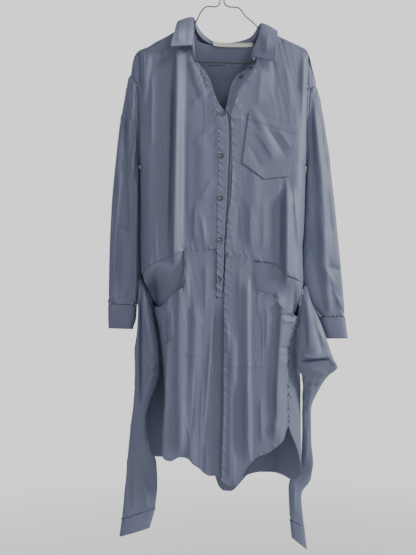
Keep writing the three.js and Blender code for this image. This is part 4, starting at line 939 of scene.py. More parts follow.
def make_bands(cloth):
    def band(name, start, end, depth):
        grid = panel(even(22), 230, beside(reader(start, "x"), reader(end, "x")), level(BAND_TOP),
                     level(BAND_FOOT), depth)
        return Cloth(name, grid, -1, thick=FOLDED).uneven(SEED, 1.0).push(0.5)

    hole = band("buttonhole_band_cloth", HOLE_SEAM, HOLE_EDGE, front_right_y)
    hole.pucker("first", 1.3, 10, 10, 12).pucker("last", 0.9, 8, 6, 13)
    away = edge_distance(hole.grid, "foot")
    hole.push(-BAND_FOOT_SINK * smooth(1 - away / BAND_FOOT_RUN))
    stitched(hole, ("first", 2.2), ("last", 3.0))
    button = band("button_band_cloth", BUTTON_EDGE, BUTTON_SEAM, button_band_y)
    button.push(-0.6).pucker("last", 1.3, 11, 9, 15)
    past_edge = button.grid[..., 0] - HOLE_EDGE.read(button.grid[..., 2], "x")
    button.push(-groove(past_edge, 2.0, 2.2, 3.0))
    stitched(button, ("last", 2.2), ("first", 3.0))
    lay(cloth, buttonhole_band=hole, button_band=button)


def collar_line(columns, count):
    stations = np.stack([COLLAR.column[name] for name in columns.split()], -1)
    return bend(stations, np.linspace(0, 1, count))


def make_collar(cloth):
    count = 150
    seam, fold, edge = (collar_line(names, count) for names in ("nx ny nz", "fx fy fz", "lx ly lz"))
    t = np.linspace(0, 1, 15)[None, :, None]
    stand = Cloth("collar_stand_cloth", mix(seam[:, None], fold[:, None], 0.98 * t), -1, thick=FOLDED)
    stand.pucker("top", 0.5, 9, 5, 16)
    stitched(stand, ("top", 2.5))
    t = np.linspace(0, 1, 31)[None, :, None]
    leaf = Cloth("collar_cloth", mix(fold[:, None], edge[:, None], t), 1, thick=FOLDED)
    roll = np.sin(np.pi * np.linspace(0, 1, 31) ** 0.7)[None, :]
    leaf.push(CLOTH + 2.2 * roll).crease(COLLAR_CREASES).uneven(SEED + 3, 0.7, 45)
    leaf.pucker("foot", 0.5, 10, 6, 17)
    stitched(leaf, ("foot", 5.0), ("first", 5.0), ("last", 5.0))
    lay(cloth, collar_stand=stand, collar=leaf)


def skirt_top(mouth, end, x):
    """The mouth of the hip pocket, then the hip seam from the end of the mouth on."""
    step = (x - mouth.key[-1]) if end > 0 else (mouth.key[0] - x)
    return mix(mouth.read(x, "z"), hip_foot(x), clamp(step / MOUTH_STEP))


def back_section(z):
    """Section of the skirt back at each height z: seven points round it."""
    names = ("depth", "seamLx", "seamLy", "outLx", "outLy", "outRx", "outRy", "seamRx", "seamRy")
    depth, seam_lx, seam_ly, out_lx, out_ly, out_rx, out_ry, seam_rx, seam_ry = (
        SKIRT_BACK.read(z, name) for name in names)
    ring = [(seam_lx, seam_ly), (out_lx, out_ly), (out_lx * 0.6, depth * 0.86), (0 * z, depth),
            (out_rx * 0.6, depth * 0.86), (out_rx, out_ry), (seam_rx, seam_ry)]
    return np.stack([np.stack([x, y, z], -1) for x, y in ring], -2)


def make_skirt(cloth):
    def right_across(u, z):
        pleat, side = SKIRT_RIGHT.read(z, "pleat"), SKIRT_RIGHT.read(z, "side")
        mouth = mix(MOUTH_RIGHT_X, mix(side, pleat, 0.5), smooth((-800 - z) / 200))
        far = SKIRT_LEFT.read(z, "centre") + PLEAT_UNDERLAP
        return along([(0, side), (0.22, SKIRT_RIGHT.read(z, "crest")), (0.36, mouth), (0.38, mouth + 2),
                      (0.74, pleat), (0.76, pleat + 1.6), (1, far)], u)

    def left_across(u, z):
        centre, side = SKIRT_LEFT.read(z, "centre"), SKIRT_LEFT.read(z, "side")
        mouth = mix(MOUTH_LEFT_X, mix(centre, side, 0.5), smooth((-820 - z) / 200))
        return along([(0, centre), (0.4, mouth), (0.42, mouth + 2), (0.82, mix(mouth, side, 0.72)),
                      (0.97, side), (1, side + SIDE_LAP)], u)

    columns = even(96, (0.37, 0.012, 6), (0.75, 0.014, 8), (0.1, 0.1, 16))
    grid = panel(columns, 140, right_across, lambda x: skirt_top(MOUTH_RIGHT, 1, x),
                 reader(HEM_RIGHT, "z"), skirt_right_y)
    right = Cloth("skirt_front_right_cloth", grid, -1).uneven(SEED + 4, 1.2, 80).crinkle(SEED + 4, 1.0)
    right.crease(SKIRT_RIGHT_CREASES)
    right.hem("foot").hem("top", 4.0, 1.0).pucker("foot", 0.9, 11, 8, 18).pucker("top", 1.0, 14, 12, 4)
    stitched(right, ("foot", 5.0), ("top", 1.8), ("top", 7.0))
    grid = panel(even(96, (0.41, 0.012, 6), (0.95, 0.05, 12)), 140, left_across,
                 lambda x: skirt_top(MOUTH_LEFT, -1, x), reader(HEM_LEFT, "z"), skirt_left_y)
    left = Cloth("skirt_front_left_cloth", grid, -1).uneven(SEED + 5, 1.2, 80).crinkle(SEED + 5, 1.0)
    left.crease(SKIRT_LEFT_CREASES)
    left.hem("foot").hem("top", 4.0, 1.0).pucker("foot", 0.9, 11, 8, 20).pucker("top", 1.0, 14, 12, 4)
    left.pucker("first", 1.3, 11, 12, 22).pucker("last", 1.8, 10, 14, 23)
    away = edge_distance(left.grid, "last")
    left.push(SIDE_PRESS * smooth(1 - away / SIDE_PRESS_RUN))
    stitched(left, ("foot", 5.0), ("top", 1.8), ("top", 7.0), ("first", 4.0))
    v = np.linspace(0, 1, 141)
    grid = []
    for u in even(120, (0.05, 0.05, 12), (0.95, 0.05, 12), (0.48, 0.03, 14)):
        z = mix(HIP_BACK_Z + TUCK, float(BACK_HEM.read(u, "z")), v)
        t = float(np.interp(u, [0, 0.15, 0.5, 0.85, 1], [0, 1 / 6, 0.5, 5 / 6, 1]))
        line = bend(back_section(z), [t])[:, 0]
        line[:, 1] += folds(SKIRT_BACK_FOLDS, line[:, 0], z) * smooth(min(u, 1 - u) / 0.3)
        grid.append(line)
    back = Cloth("skirt_back_cloth", np.array(grid), 1).uneven(SEED + 6, 1.6, 90).crinkle(SEED + 6, 1.1, 60)
    back.crease(SKIRT_BACK_CREASES)
    back.hem("foot").pucker("foot", 0.8, 12, 8, 24).pucker("top", 0.9, 15, 12, 25)
    back.pucker("first", 0.8, 13, 8, 26).pucker("last", 1.8, 10, 16, 23)
    away = edge_distance(back.grid, "last")
    back.push(-SIDE_PRESS * smooth(1 - away / SIDE_PRESS_RUN))
    stitched(back, ("foot", 5.0), ("top", 2.5))
    lay(cloth, skirt_front_right=right, skirt_front_left=left, skirt_back=back)


def make_pockets(cloth):
    def bag(name, edges, own, shift, columns, seed):
        def depth(x, z):
            body = front_y(x, z) + CLOTH + 1.0
            return mix(body, own(x + shift, z) + POCKET_GAPE, smooth((hip_z(x) - z) / 70))

        across = beside(reader(edges, "left"), reader(edges, "right"))
        grid = panel(columns, 70, across, hip_foot, level(POCKET_FOOT), depth)
        piece = Cloth(name, grid, -1).uneven(seed, 0.8, 60).pucker("top", 0.8, 12, 8, seed)
        return stitched(piece, ("top", 2.0))

    right = bag("hip_pocket_right_cloth", Table("z left right", [
        [-720, -186.5, -62], [-733, -185, -62], [-768, -172, -62], [-790, -162, -62], [-810, -150, -62],
        [-862, -137, -62], [-895, -132, -62]]), skirt_right_y, -9, even(60) ** 1.4, 28)
    left = bag("hip_pocket_left_cloth", Table("z left right", [
        [-752, 56, 189], [-790, 56, 179], [-815, 56, 170], [-830, 56, 164], [-871, 56, 150],
        [-908, 56, 142]]),
        skirt_left_y, 9, 1 - (1 - even(60)) ** 1.4, 29)
    lay(cloth, hip_pocket_right=right, hip_pocket_left=left)


def pocket_point(s, t):
    corner = {name: np.array(at, float) for name, at in CHEST_POCKET.items()}
    top = mix(corner["topLeft"], corner["topRight"], s)
    if s < 0.5:
        foot = mix(corner["footLeft"], corner["foot"], 2 * s)
    else:
        foot = mix(corner["foot"], corner["footRight"], 2 * s - 1)
    return mix(top, foot, t)


def make_chest_pocket(cloth):
    flat = np.array([[pocket_point(s, t) for t in np.linspace(0, 1, 61)] for s in np.linspace(0, 1, 61)])
    x, z = flat[..., 0], flat[..., 1]
    grid = np.stack([x, front_y(x, z), z], -1)
    pocket = Cloth("chest_pocket_cloth", grid, -1).uneven(SEED, 1.0).crease(FRONT_LEFT_CREASES)
    pocket.crease(CHEST_POCKET_CREASES).push(CLOTH + 0.7)
    away = edge_distance(pocket.grid, "top")
    pocket.push(0.7 * smooth((POCKET_HEM - away) / 2.5) - groove(away, POCKET_HEM - 1.5, 1.3, 0.5))
    pocket.pucker("first", 0.5, 9, 6, 30).pucker("last", 0.5, 9, 6, 31).pucker("foot", 0.5, 9, 6, 32)
    stitched(pocket, ("first", 1.8), ("last", 1.8), ("foot", 1.8), ("top", POCKET_HEM - 1.5))
    lay(cloth, chest_pocket=pocket)


def tube(rows, fold_rows, sides, count, edge=None):
    """Rings from the rows of a tube's table, their outline between a circle and a flat box."""
    angle = 2 * math.pi * np.arange(sides) / sides
    side = (np.sign(np.cos(angle)) * np.abs(np.cos(angle)) ** (2 / 3))[:, None]
    face = (np.sign(np.sin(angle)) * np.abs(np.sin(angle)) ** (2 / 3))[:, None]
    row = np.linspace(0, rows.key[-1], count + 1)[None, :]
    get = {name: rows.read(row, name) for name in ("outX", "outZ", "inX", "inZ", "y", "half")}
    t = (1 + side) / 2
    z = mix(get["outZ"], get["inZ"], t)
    x = mix(get["outX"], get["inX"], t)
    if edge:
        start = rows.rows[0]
        seam = edge(mix(start["outZ"], start["inZ"], t)) - mix(start["outX"], start["inX"], t)
        x = x + seam * (1 - smooth(row / 3))
    rise = 0
    for f in fold_rows.rows:
        fade = smooth((row - f["from"]) / 1.2) * smooth((f["to"] - row) / 1.2)
        rise = rise + f["rise"] * fade * smooth(1 - np.abs(side - f["across"]) / f["width"])
    y = get["y"] + get["half"] * face - np.where(face < 0, rise * smooth(-face * 2), 0)
    return np.stack([x, y, z], -1)


NO_FOLDS = Table(TUBE_FOLD_COLUMNS, [
    [0, 1, 0, 1, 0],
])
TIE_FACING = -1  # both ties run from their left edge to their right one in their tables


def make_sleeves(cloth):
    pairs = (
        ("right", SLEEVE_RIGHT, SLEEVE_RIGHT_FOLDS, SLEEVE_RIGHT_CREASES, CUFF_RIGHT, -1, LEFT_SIDE, 33),
        ("left", SLEEVE_LEFT, SLEEVE_LEFT_FOLDS, SLEEVE_LEFT_CREASES, CUFF_LEFT, 1, RIGHT_SIDE, 34),
    )
    for name, rows, fold_rows, crease_rows, cuff_rows, facing, side, seed in pairs:
        grid = tube(rows, fold_rows, 88, 170, side)
        sleeve = Cloth(f"sleeve_{name}_cloth", grid, facing, ring=True)
        sleeve.uneven(seed, 1.1, 60).crinkle(seed, 1.1, 40).crease(crease_rows)
        sleeve.pucker("top", 1.3, 10, 14, seed).pucker("foot", 1.8, 11, 18, seed + 1)
        stitched(sleeve, ("top", 2.5))
        grid = tube(cuff_rows, NO_FOLDS, 88, 24)
        cuff = Cloth(f"cuff_{name}_cloth", grid, facing, ring=True, thick=DOUBLE).push(0.6)
        cuff.uneven(seed + 2, 0.6, 40).pucker("foot", 0.4, 9, 6, seed).pucker("top", 0.7, 9, 6, seed)
        stitched(cuff, ("top", 2.2), ("foot", 4.0))
        lay(cloth, **{f"sleeve_{name}": sleeve, f"cuff_{name}": cuff})


def make_ties(cloth):
    pairs = (
        ("right", TIE_RIGHT, TIE_RIGHT_FOLDS, TIE_RIGHT_CREASES, TIE_CUFF_RIGHT, 35),
        ("left", TIE_LEFT, TIE_LEFT_FOLDS, TIE_LEFT_CREASES, TIE_CUFF_LEFT, 36),
    )
    for name, rows, fold_rows, crease_rows, cuff_rows, seed in pairs:
        grid = tube(rows, fold_rows, 72, 190)
        tie = Cloth(f"tie_sleeve_{name}_cloth", grid, TIE_FACING, ring=True)
        tie.uneven(seed, 1.0, 50).crinkle(seed, 1.1, 36).crease(crease_rows)
        tie.pucker("foot", 1.4, 9, 14, seed)
        grid = tube(cuff_rows, NO_FOLDS, 72, 22)
        cuff = Cloth(f"tie_cuff_{name}_cloth", grid, TIE_FACING, ring=True, thick=DOUBLE).push(0.5)
        cuff.uneven(seed + 2, 0.6, 40).pucker("top", 0.6, 9, 6, seed)
        stitched(cuff, ("top", 2.2), ("foot", 4.0))
        lay(cloth, **{f"tie_sleeve_{name}": tie, f"tie_cuff_{name}": cuff})


def rod(name, points, radius, sides, count, slot, material):
    """A round wire along a smooth curve, closed at both ends."""
    path = bend(np.array(points, float), np.linspace(0, 1, count))
    tangent = np.gradient(path, axis=0)
    tangent /= np.linalg.norm(tangent, axis=1, keepdims=True)
    binormal = np.array([0.0, 1.0, 0.0])
    normal = np.cross(tangent, binormal)
    normal /= np.linalg.norm(normal, axis=1, keepdims=True)
    angle = 2 * math.pi * np.arange(sides) / sides
    ring = path[:, None] + radius * (normal[:, None] * np.cos(angle)[None, :, None]
                                     + binormal * np.sin(angle)[None, :, None])
    verts = (ring.reshape(-1, 3) * MM).tolist()
    faces = []
    for i in range(count - 1):
        for j in range(sides):
            a, b = i * sides + j, i * sides + (j + 1) % sides
            faces.append([a, b, b + sides, a + sides])
    faces += [list(range(sides))[::-1], list(range((count - 1) * sides, count * sides))]
    mesh = bpy.data.meshes.new(name)
    mesh.from_pydata(verts, [], faces)
    turn_outward(mesh)
    mesh.polygons.foreach_set("use_smooth", np.ones(len(faces), bool))
    return place(name, mesh, slot, material)


def turn_outward(mesh):
    work = bmesh.new()
    work.from_mesh(mesh)
    bmesh.ops.recalc_face_normals(work, faces=work.faces)
    work.to_mesh(mesh)
    work.free()


def make_hanger(wire):
    def below(x):
        return [x, float(shoulder_z(x)) - WIRE_RADIUS - CLOTH - UNDER_CLOTH]

    def turn(degrees):
        angle = math.radians(degrees)
        return [HOOK_RADIUS * math.cos(angle), WIRE_RADIUS - HOOK_RADIUS + HOOK_RADIUS * math.sin(angle)]

    hook = [[0, -59.3], [0, -52], [4, -44.5],
    [11, -37.5], *map(turn, (-38, -10, 25, 60, 90, 120, 155, 185, 205)),
            [-20, -34]]
    right = [[-1.8, -59.6], [-2.2, -68], [-4.7, -84], [-5.5, -95], [-13, -102.5], [-38, -103.5],
    [-51, -118],
             [-57, -130], [-63, -141], [-70, -147],
             [-79, -149.5], *map(below, (-94, -103, -134, -157, -174)),
             [-186, -207], [-191, -213], [-190, -221], [-183, -227], [-172, -229.2]]
    left = [[1.8, -59.6], [2.2, -68], [4.7, -84], [5.5, -95], [14, -102.5], [39, -106], [56, -126],
    [74, -141],
            [90, -157], *map(below, (113, 129, 155, 176)), [190, -205], [196, -213], [196, -226],
            [188, -237],
            [174, -239.8]]
    bar = [[-171.7, -229.2], [-60, -232.6], [60, -236.4], [173.7, -239.8]]
    lines = (("hanger_hook", hook, 120), ("hanger_arm_right", right, 140), ("hanger_arm_left", left, 140),
             ("hanger_bar", bar, 30))
    for node, points, count in lines:
        obj = rod(f"{node}_wire", [[x, 0, z] for x, z in points], WIRE_RADIUS, 14, count, "wire", wire)
        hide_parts(node)


def lathe(profile, count):
    """A turned form about Z, closed where the profile starts and ends on the axis."""
    work = bmesh.new()
    edges = []
    verts = [work.verts.new((r * MM, 0, h * MM)) for r, h in profile]
    for a, b in zip(verts, verts[1:]):
        edges.append(work.edges.new((a, b)))
    bmesh.ops.spin(work, geom=verts + edges, cent=(0, 0, 0), axis=(0, 0, 1), angle=2 * math.pi, steps=count)
    bmesh.ops.remove_doubles(work, verts=work.verts, dist=1e-6)
    bmesh.ops.recalc_face_normals(work, faces=work.faces)
    return work


BUTTON_PROFILE = [(0, -1.1), (4.4, -1.1), (5.1, -0.7), (5.3, 0), (5.2, 0.7), (4.9, 1.1), (4.5, 1.2),
    (4.0, 1.0),
                  (3.6, 0.5), (3.2, 0.35), (0, 0.25)]
HOLE_OFFSET = 1.15
HOLE_RADIUS = 0.55


def button_mesh(name, normal, centre):
    work = lathe(BUTTON_PROFILE, 40)
    mesh = bpy.data.meshes.new(name)
    work.to_mesh(mesh)
    work.free()
    body = bpy.data.objects.new(name, mesh)
    bpy.context.scene.collection.objects.link(body)
    drill = bmesh.new()
    for x in (-HOLE_OFFSET, HOLE_OFFSET):
        for y in (-HOLE_OFFSET, HOLE_OFFSET):
            made = bmesh.ops.create_cone(drill, cap_ends=True, segments=12, radius1=HOLE_RADIUS * MM,
                                         radius2=HOLE_RADIUS * MM, depth=6 * MM)
            bmesh.ops.translate(drill, verts=made["verts"], vec=(x * MM, y * MM, 0))
    drill_mesh = bpy.data.meshes.new(f"{name}_drill")
    drill.to_mesh(drill_mesh)
    drill.free()
    tool = bpy.data.objects.new(f"{name}_drill", drill_mesh)
    bpy.context.scene.collection.objects.link(tool)
    cut = body.modifiers.new("holes", "BOOLEAN")
    cut.object, cut.operation, cut.solver = tool, "DIFFERENCE", "EXACT"
    graph = bpy.context.evaluated_depsgraph_get()
    result = bpy.data.meshes.new_from_object(body.evaluated_get(graph))
    for obj in (body, tool):
        bpy.data.objects.remove(obj)
    result.transform(upright_to(normal, centre))
    result.name = name
    return result


def upright_to(normal, centre):
    """Turns a form that stands on Z to lie along a normal, and puts it in its place."""
    spin = Vector((0, 0, 1)).rotation_difference(Vector(normal)).to_matrix().to_4x4()
    return Matrix.Translation(Vector(centre)) @ spin


def thread_mesh(name, normal, centre):
    """Two bars of thread through a button's holes."""
    work = bmesh.new()
    for x in (-HOLE_OFFSET, HOLE_OFFSET):
        made = bmesh.ops.create_icosphere(work, subdivisions=2, radius=0.5 * MM)
        bmesh.ops.scale(work, verts=made["verts"], vec=(0.9, 3.2, 0.6))
        bmesh.ops.translate(work, verts=made["verts"], vec=(x * MM, 0, 0.45 * MM))
    mesh = bpy.data.meshes.new(name)
    work.to_mesh(mesh)
    work.free()
    mesh.transform(upright_to(normal, centre))
    mesh.polygons.foreach_set("use_smooth", np.ones(len(mesh.polygons), bool))
    return mesh


def make_buttons(plastic, thread):
    places = [(f"button_{i + 1}", x, z, button_band_y) for i, (x, z) in enumerate(OPEN_BUTTONS)]
    places += [(f"button_{i + 3}", x, z, front_right_y) for i, (x, z) in enumerate(CLOSED_BUTTONS)]
    for node, x, z, depth in places:
        low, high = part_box(node)
        centre = [(a + b) / 2 for a, b in zip(low, high)]
        step = 4.0
        slope_x = float(depth(x + step, z) - depth(x - step, z)) / (2 * step)
        slope_z = float(depth(x, z + step) - depth(x, z - step)) / (2 * step)
        normal = Vector((slope_x, -1.0, slope_z)).normalized()
        centre = Vector(centre) + normal * 0.0006
        mesh = button_mesh(f"{node}_disc", normal, centre)
        mesh.polygons.foreach_set("use_smooth", np.ones(len(mesh.polygons), bool))
        mesh.set_sharp_from_angle(angle=math.radians(35))
        obj = place(f"{node}_disc", mesh, "button", plastic)
        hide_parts(node)
        place(f"{node}_thread", thread_mesh(f"{node}_thread", normal, centre), "shirting", thread)


def make_label(satin):
    u = even(40)[:, None]
    v = np.linspace(0, 1, 13)[None, :]
    x = mix(LABEL["left"], LABEL["right"], u) + 0 * v
    z = NECK.read(x, "z") + mix(LABEL["top"], LABEL["foot"], v)
    low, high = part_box("neck_label")
    lie = mix(low[1], high[1], 0.4) / MM
    y = lie + 1.5 * (1 - (2 * u - 1) ** 2) + 0 * v
    label = Cloth("neck_label_cloth", np.stack([x, y, z], -1), -1, thick=0.5).uneven(40, 0.4, 30)
    SEAM_LINES.append(label.line("top", 1.2))
    lay(satin, slot="label", neck_label=label)


class DressClothSettings(bpy.types.PropertyGroup):
    colour: bpy.props.FloatVectorProperty(
        name="Cloth", description="Colour of the shirting", subtype="COLOR", size=3, min=0, max=1,
        default=(0.125, 0.138, 0.208))
    pitch: bpy.props.FloatProperty(
        name="Weave", description="Distance from thread to thread", subtype="DISTANCE", default=0.00045,
        min=0.0001)
    relief: bpy.props.FloatProperty(
        name="Weave relief", description="How strongly the weave shows in the light", default=0.25, min=0,
        max=1)
    sheen: bpy.props.FloatProperty(
        name="Sheen", description="Soft light along the edges of the cloth", default=0.05, min=0, max=1)


class DressTrimSettings(bpy.types.PropertyGroup):
    button: bpy.props.FloatVectorProperty(
        name="Buttons", description="Colour of the buttons", subtype="COLOR", size=3, min=0, max=1,
        default=tuple(SLOTS["button"]["base_color"][:3]))
    wire: bpy.props.FloatVectorProperty(
        name="Wire", description="Colour of the hanger", subtype="COLOR", size=3, min=0, max=1,
        default=tuple(c / 3 for c in SLOTS["wire"]["base_color"][:3]))
    label: bpy.props.FloatVectorProperty(
        name="Label", description="Colour of the bare label", subtype="COLOR", size=3, min=0, max=1,
        default=tuple(SLOTS["label"]["base_color"][:3]))
    stitch: bpy.props.FloatProperty(
        name="Stitch", description="Length from stitch to stitch", subtype="DISTANCE", default=0.0032,
        min=0.001)
    thread: bpy.props.FloatProperty(
        name="Thread", description="Thickness of the sewing thread", subtype="DISTANCE", default=0.0003,
        min=0.0001)


class DressStageSettings(bpy.types.PropertyGroup):
    floor: bpy.props.FloatVectorProperty(
        name="Floor", description="Colour of the floor", subtype="COLOR", size=3, min=0, max=1,
        default=(0.76, 0.76, 0.76))
    key: bpy.props.FloatProperty(name="Key light", description="Strength of the light from the right",
                                 subtype="POWER", default=112.0, min=0)
    fill: bpy.props.FloatProperty(name="Fill light", description="Strength of the light from the left",
                                  subtype="POWER", default=8.0, min=0)
    sky: bpy.props.FloatProperty(name="Room light", description="Strength of the even light of the room",
                                 default=0.52, min=0)
    top: bpy.props.FloatProperty(name="Top light", description="Strength of the light from above",
                                 subtype="POWER", default=22.0, min=0)
    back: bpy.props.FloatProperty(name="Back light", description="Strength of the light from behind",
                                  subtype="POWER", default=75.0, min=0)
    seen: bpy.props.FloatProperty(name="Background", description="Brightness of the plain background",
                                  default=1.3, min=0)


def weave_group():
    """Threads over and under in both directions, and the unevenness of yarn, dye and pressing."""
    group = bpy.data.node_groups.get("shirting weave")
    if group:
        return group
    group = bpy.data.node_groups.new("shirting weave", "ShaderNodeTree")
    face = group.interface
    face.new_socket("Vector", in_out="INPUT", socket_type="NodeSocketVector")
    pitch = face.new_socket("Threads per metre", in_out="INPUT", socket_type="NodeSocketFloat")
    pitch.default_value = 2200
    face.new_socket("Height", in_out="OUTPUT", socket_type="NodeSocketFloat")
    face.new_socket("Fade", in_out="OUTPUT", socket_type="NodeSocketFloat")
    nodes, links = group.nodes, group.links
    enter, leave = nodes.new("NodeGroupInput"), nodes.new("NodeGroupOutput")
    scaled = nodes.new("ShaderNodeVectorMath")
    scaled.operation = "SCALE"
    links.new(enter.outputs["Vector"], scaled.inputs[0])
    links.new(enter.outputs["Threads per metre"], scaled.inputs["Scale"])
    waves = []
    for direction in ("X", "Y"):
        wave = nodes.new("ShaderNodeTexWave")
        wave.bands_direction = direction
        wave.inputs["Scale"].default_value = 0.159
        wave.inputs["Distortion"].default_value = 0.4
        wave.inputs["Detail"].default_value = 0.0
        links.new(scaled.outputs[0], wave.inputs["Vector"])
        waves.append(wave)
    cross = nodes.new("ShaderNodeMath")
    cross.operation = "ADD"
    for i, wave in enumerate(waves):
        links.new(wave.outputs["Fac"], cross.inputs[i])
    links.new(cross.outputs[0], leave.inputs["Height"])
    fades = []
    for scale, detail in ((26.0, 3.0), (420.0, 2.0)):
        noise = nodes.new("ShaderNodeTexNoise")
        noise.inputs["Scale"].default_value = scale
        noise.inputs["Detail"].default_value = detail
        links.new(enter.outputs["Vector"], noise.inputs["Vector"])
        fades.append(noise)
    blend = nodes.new("ShaderNodeMix")
    blend.inputs["Factor"].default_value = 0.45
    links.new(fades[0].outputs["Fac"], blend.inputs["A"])
    links.new(fades[1].outputs["Fac"], blend.inputs["B"])
    links.new(blend.outputs["Result"], leave.inputs["Fade"])
    return group


def woven(name, colour, pitch, relief, sheen, rough, spread):
    """Cloth woven in one colour, a little lighter and darker from place to place."""
    old = bpy.data.materials.get(name)
    if old:
        return old
    material = bpy.data.materials.new(name)
    material.use_nodes = True
    nodes, links = material.node_tree.nodes, material.node_tree.links
    shader = nodes["Principled BSDF"]
    shader.inputs["Sheen Weight"].default_value = sheen
    shader.inputs["Sheen Roughness"].default_value = 0.45
    shader.inputs["Specular IOR Level"].default_value = 0.5
    uv = nodes.new("ShaderNodeUVMap")
    uv.uv_map = "Cloth"
    weave = nodes.new("ShaderNodeGroup")
    weave.node_tree = weave_group()
    weave.inputs["Threads per metre"].default_value = 1 / pitch
    links.new(uv.outputs["UV"], weave.inputs["Vector"])
    shades = nodes.new("ShaderNodeMix")
    shades.data_type = "RGBA"
    dark, light = [c * (1 - spread) for c in colour], [min(1, c * (1 + spread)) for c in colour]
    shades.inputs["A"].default_value = (*dark, 1)
    shades.inputs["B"].default_value = (*light, 1)
    links.new(weave.outputs["Fade"], shades.inputs["Factor"])
    links.new(shades.outputs["Result"], shader.inputs["Base Color"])
    dull = nodes.new("ShaderNodeMapRange")
    dull.inputs["To Min"].default_value = rough - 0.07
    dull.inputs["To Max"].default_value = rough + 0.07
    links.new(weave.outputs["Fade"], dull.inputs["Value"])
    links.new(dull.outputs["Result"], shader.inputs["Roughness"])
    bump = nodes.new("ShaderNodeBump")
    bump.inputs["Strength"].default_value = relief
    bump.inputs["Distance"].default_value = 0.00012
    links.new(weave.outputs["Height"], bump.inputs["Height"])
    links.new(bump.outputs["Normal"], shader.inputs["Normal"])
    return material


def smooth_stuff(name, colour, rough, metallic, coat, mottle):
    """A hard finish with faint wear in its gloss: polished buttons, lacquered wire, plain thread."""
    old = bpy.data.materials.get(name)
    if old:
        return old
    material = bpy.data.materials.new(name)
    material.use_nodes = True
    nodes, links = material.node_tree.nodes, material.node_tree.links
    shader = nodes["Principled BSDF"]
    shader.inputs["Metallic"].default_value = metallic
    shader.inputs["Coat Weight"].default_value = coat
    where = nodes.new("ShaderNodeTexCoord")
    noise = nodes.new("ShaderNodeTexNoise")
    noise.inputs["Scale"].default_value = 900.0
    noise.inputs["Detail"].default_value = 3.0
    links.new(where.outputs["Object"], noise.inputs["Vector"])
    shades = nodes.new("ShaderNodeMix")
    shades.data_type = "RGBA"
    shades.inputs["A"].default_value = (*[c * (1 - mottle) for c in colour], 1)
    shades.inputs["B"].default_value = (*[min(1, c * (1 + mottle)) for c in colour], 1)
    links.new(noise.outputs["Fac"], shades.inputs["Factor"])
    links.new(shades.outputs["Result"], shader.inputs["Base Color"])
    dull = nodes.new("ShaderNodeMapRange")
    dull.inputs["To Min"].default_value = max(0.05, rough - 0.08)
    dull.inputs["To Max"].default_value = rough + 0.08
    links.new(noise.outputs["Fac"], dull.inputs["Value"])
    links.new(dull.outputs["Result"], shader.inputs["Roughness"])
    return material


def shirting():
    own = bpy.context.scene.dress_cloth
    return woven("yarn-dyed shirting", own.colour, own.pitch, own.relief, own.sheen, 0.55, 0.10)


def sewing_thread():
    colour = [min(1, c * 1.25) for c in bpy.context.scene.dress_cloth.colour]
    return smooth_stuff("sewing thread", colour, 0.6, 0.0, 0.0, 0.1)


def stitch_tree(thread):
    """Short rounded stitches along each line of a mesh of seams."""
    tree = bpy.data.node_groups.new("running stitch", "GeometryNodeTree")
    face = tree.interface
    face.new_socket("Geometry", in_out="INPUT", socket_type="NodeSocketGeometry")
    sockets = {}
    for name, value in (("Pitch", 0.0032), ("Length", 0.0023), ("Thickness", 0.0004)):
        sockets[name] = face.new_socket(name, in_out="INPUT", socket_type="NodeSocketFloat")
        sockets[name].default_value = value
    face.new_socket("Geometry", in_out="OUTPUT", socket_type="NodeSocketGeometry")
    nodes, links = tree.nodes, tree.links
    enter, leave = nodes.new("NodeGroupInput"), nodes.new("NodeGroupOutput")
    line = nodes.new("GeometryNodeMeshToCurve")
    points = nodes.new("GeometryNodeCurveToPoints")
    points.mode = "LENGTH"
    stitch = nodes.new("GeometryNodeMeshCylinder")
    stitch.inputs["Vertices"].default_value = 5
    radius = nodes.new("ShaderNodeMath")
    radius.operation = "MULTIPLY"
    radius.inputs[1].default_value = 0.5
    instances = nodes.new("GeometryNodeInstanceOnPoints")
    real = nodes.new("GeometryNodeRealizeInstances")
    paint = nodes.new("GeometryNodeSetMaterial")
    paint.inputs["Material"].default_value = thread
    links.new(enter.outputs["Geometry"], line.inputs["Mesh"])
    links.new(line.outputs["Curve"], points.inputs["Curve"])
    links.new(enter.outputs["Pitch"], points.inputs["Length"])
    links.new(enter.outputs["Length"], stitch.inputs["Depth"])
    links.new(enter.outputs["Thickness"], radius.inputs[0])
    links.new(radius.outputs[0], stitch.inputs["Radius"])
    links.new(points.outputs["Points"], instances.inputs["Points"])
    links.new(points.outputs["Rotation"], instances.inputs["Rotation"])
    links.new(stitch.outputs["Mesh"], instances.inputs["Instance"])
    links.new(instances.outputs["Instances"], real.inputs["Geometry"])
    links.new(real.outputs["Geometry"], paint.inputs["Geometry"])
    links.new(paint.outputs["Geometry"], leave.inputs["Geometry"])
    return tree, sockets


def make_stitches(thread):
    own = bpy.context.scene.dress_trim
    verts, edges = [], []
    for points in SEAM_LINES:
        start = len(verts)
        verts += (points * MM).tolist()
        edges += [(start + i, start + i + 1) for i in range(len(points) - 1)]
    lines = bpy.data.meshes.new("seam_lines")
    lines.from_pydata(verts, edges, [])
    guide = bpy.data.objects.new("seam_lines", lines)
    bpy.context.scene.collection.objects.link(guide)
    tree, sockets = stitch_tree(thread)
    run = guide.modifiers.new("stitches", "NODES")
    run.node_group = tree
    for name, value in (("Pitch", own.stitch), ("Length", own.stitch * 0.72), ("Thickness", own.thread)):
        run[sockets[name].identifier] = value
    graph = bpy.context.evaluated_depsgraph_get()
    mesh = bpy.data.meshes.new_from_object(guide.evaluated_get(graph))
    bpy.data.objects.remove(guide)
    mesh.name = "stitches"
    mesh.materials.clear()
    turn_outward(mesh)
    place("stitches", mesh, "shirting", thread)


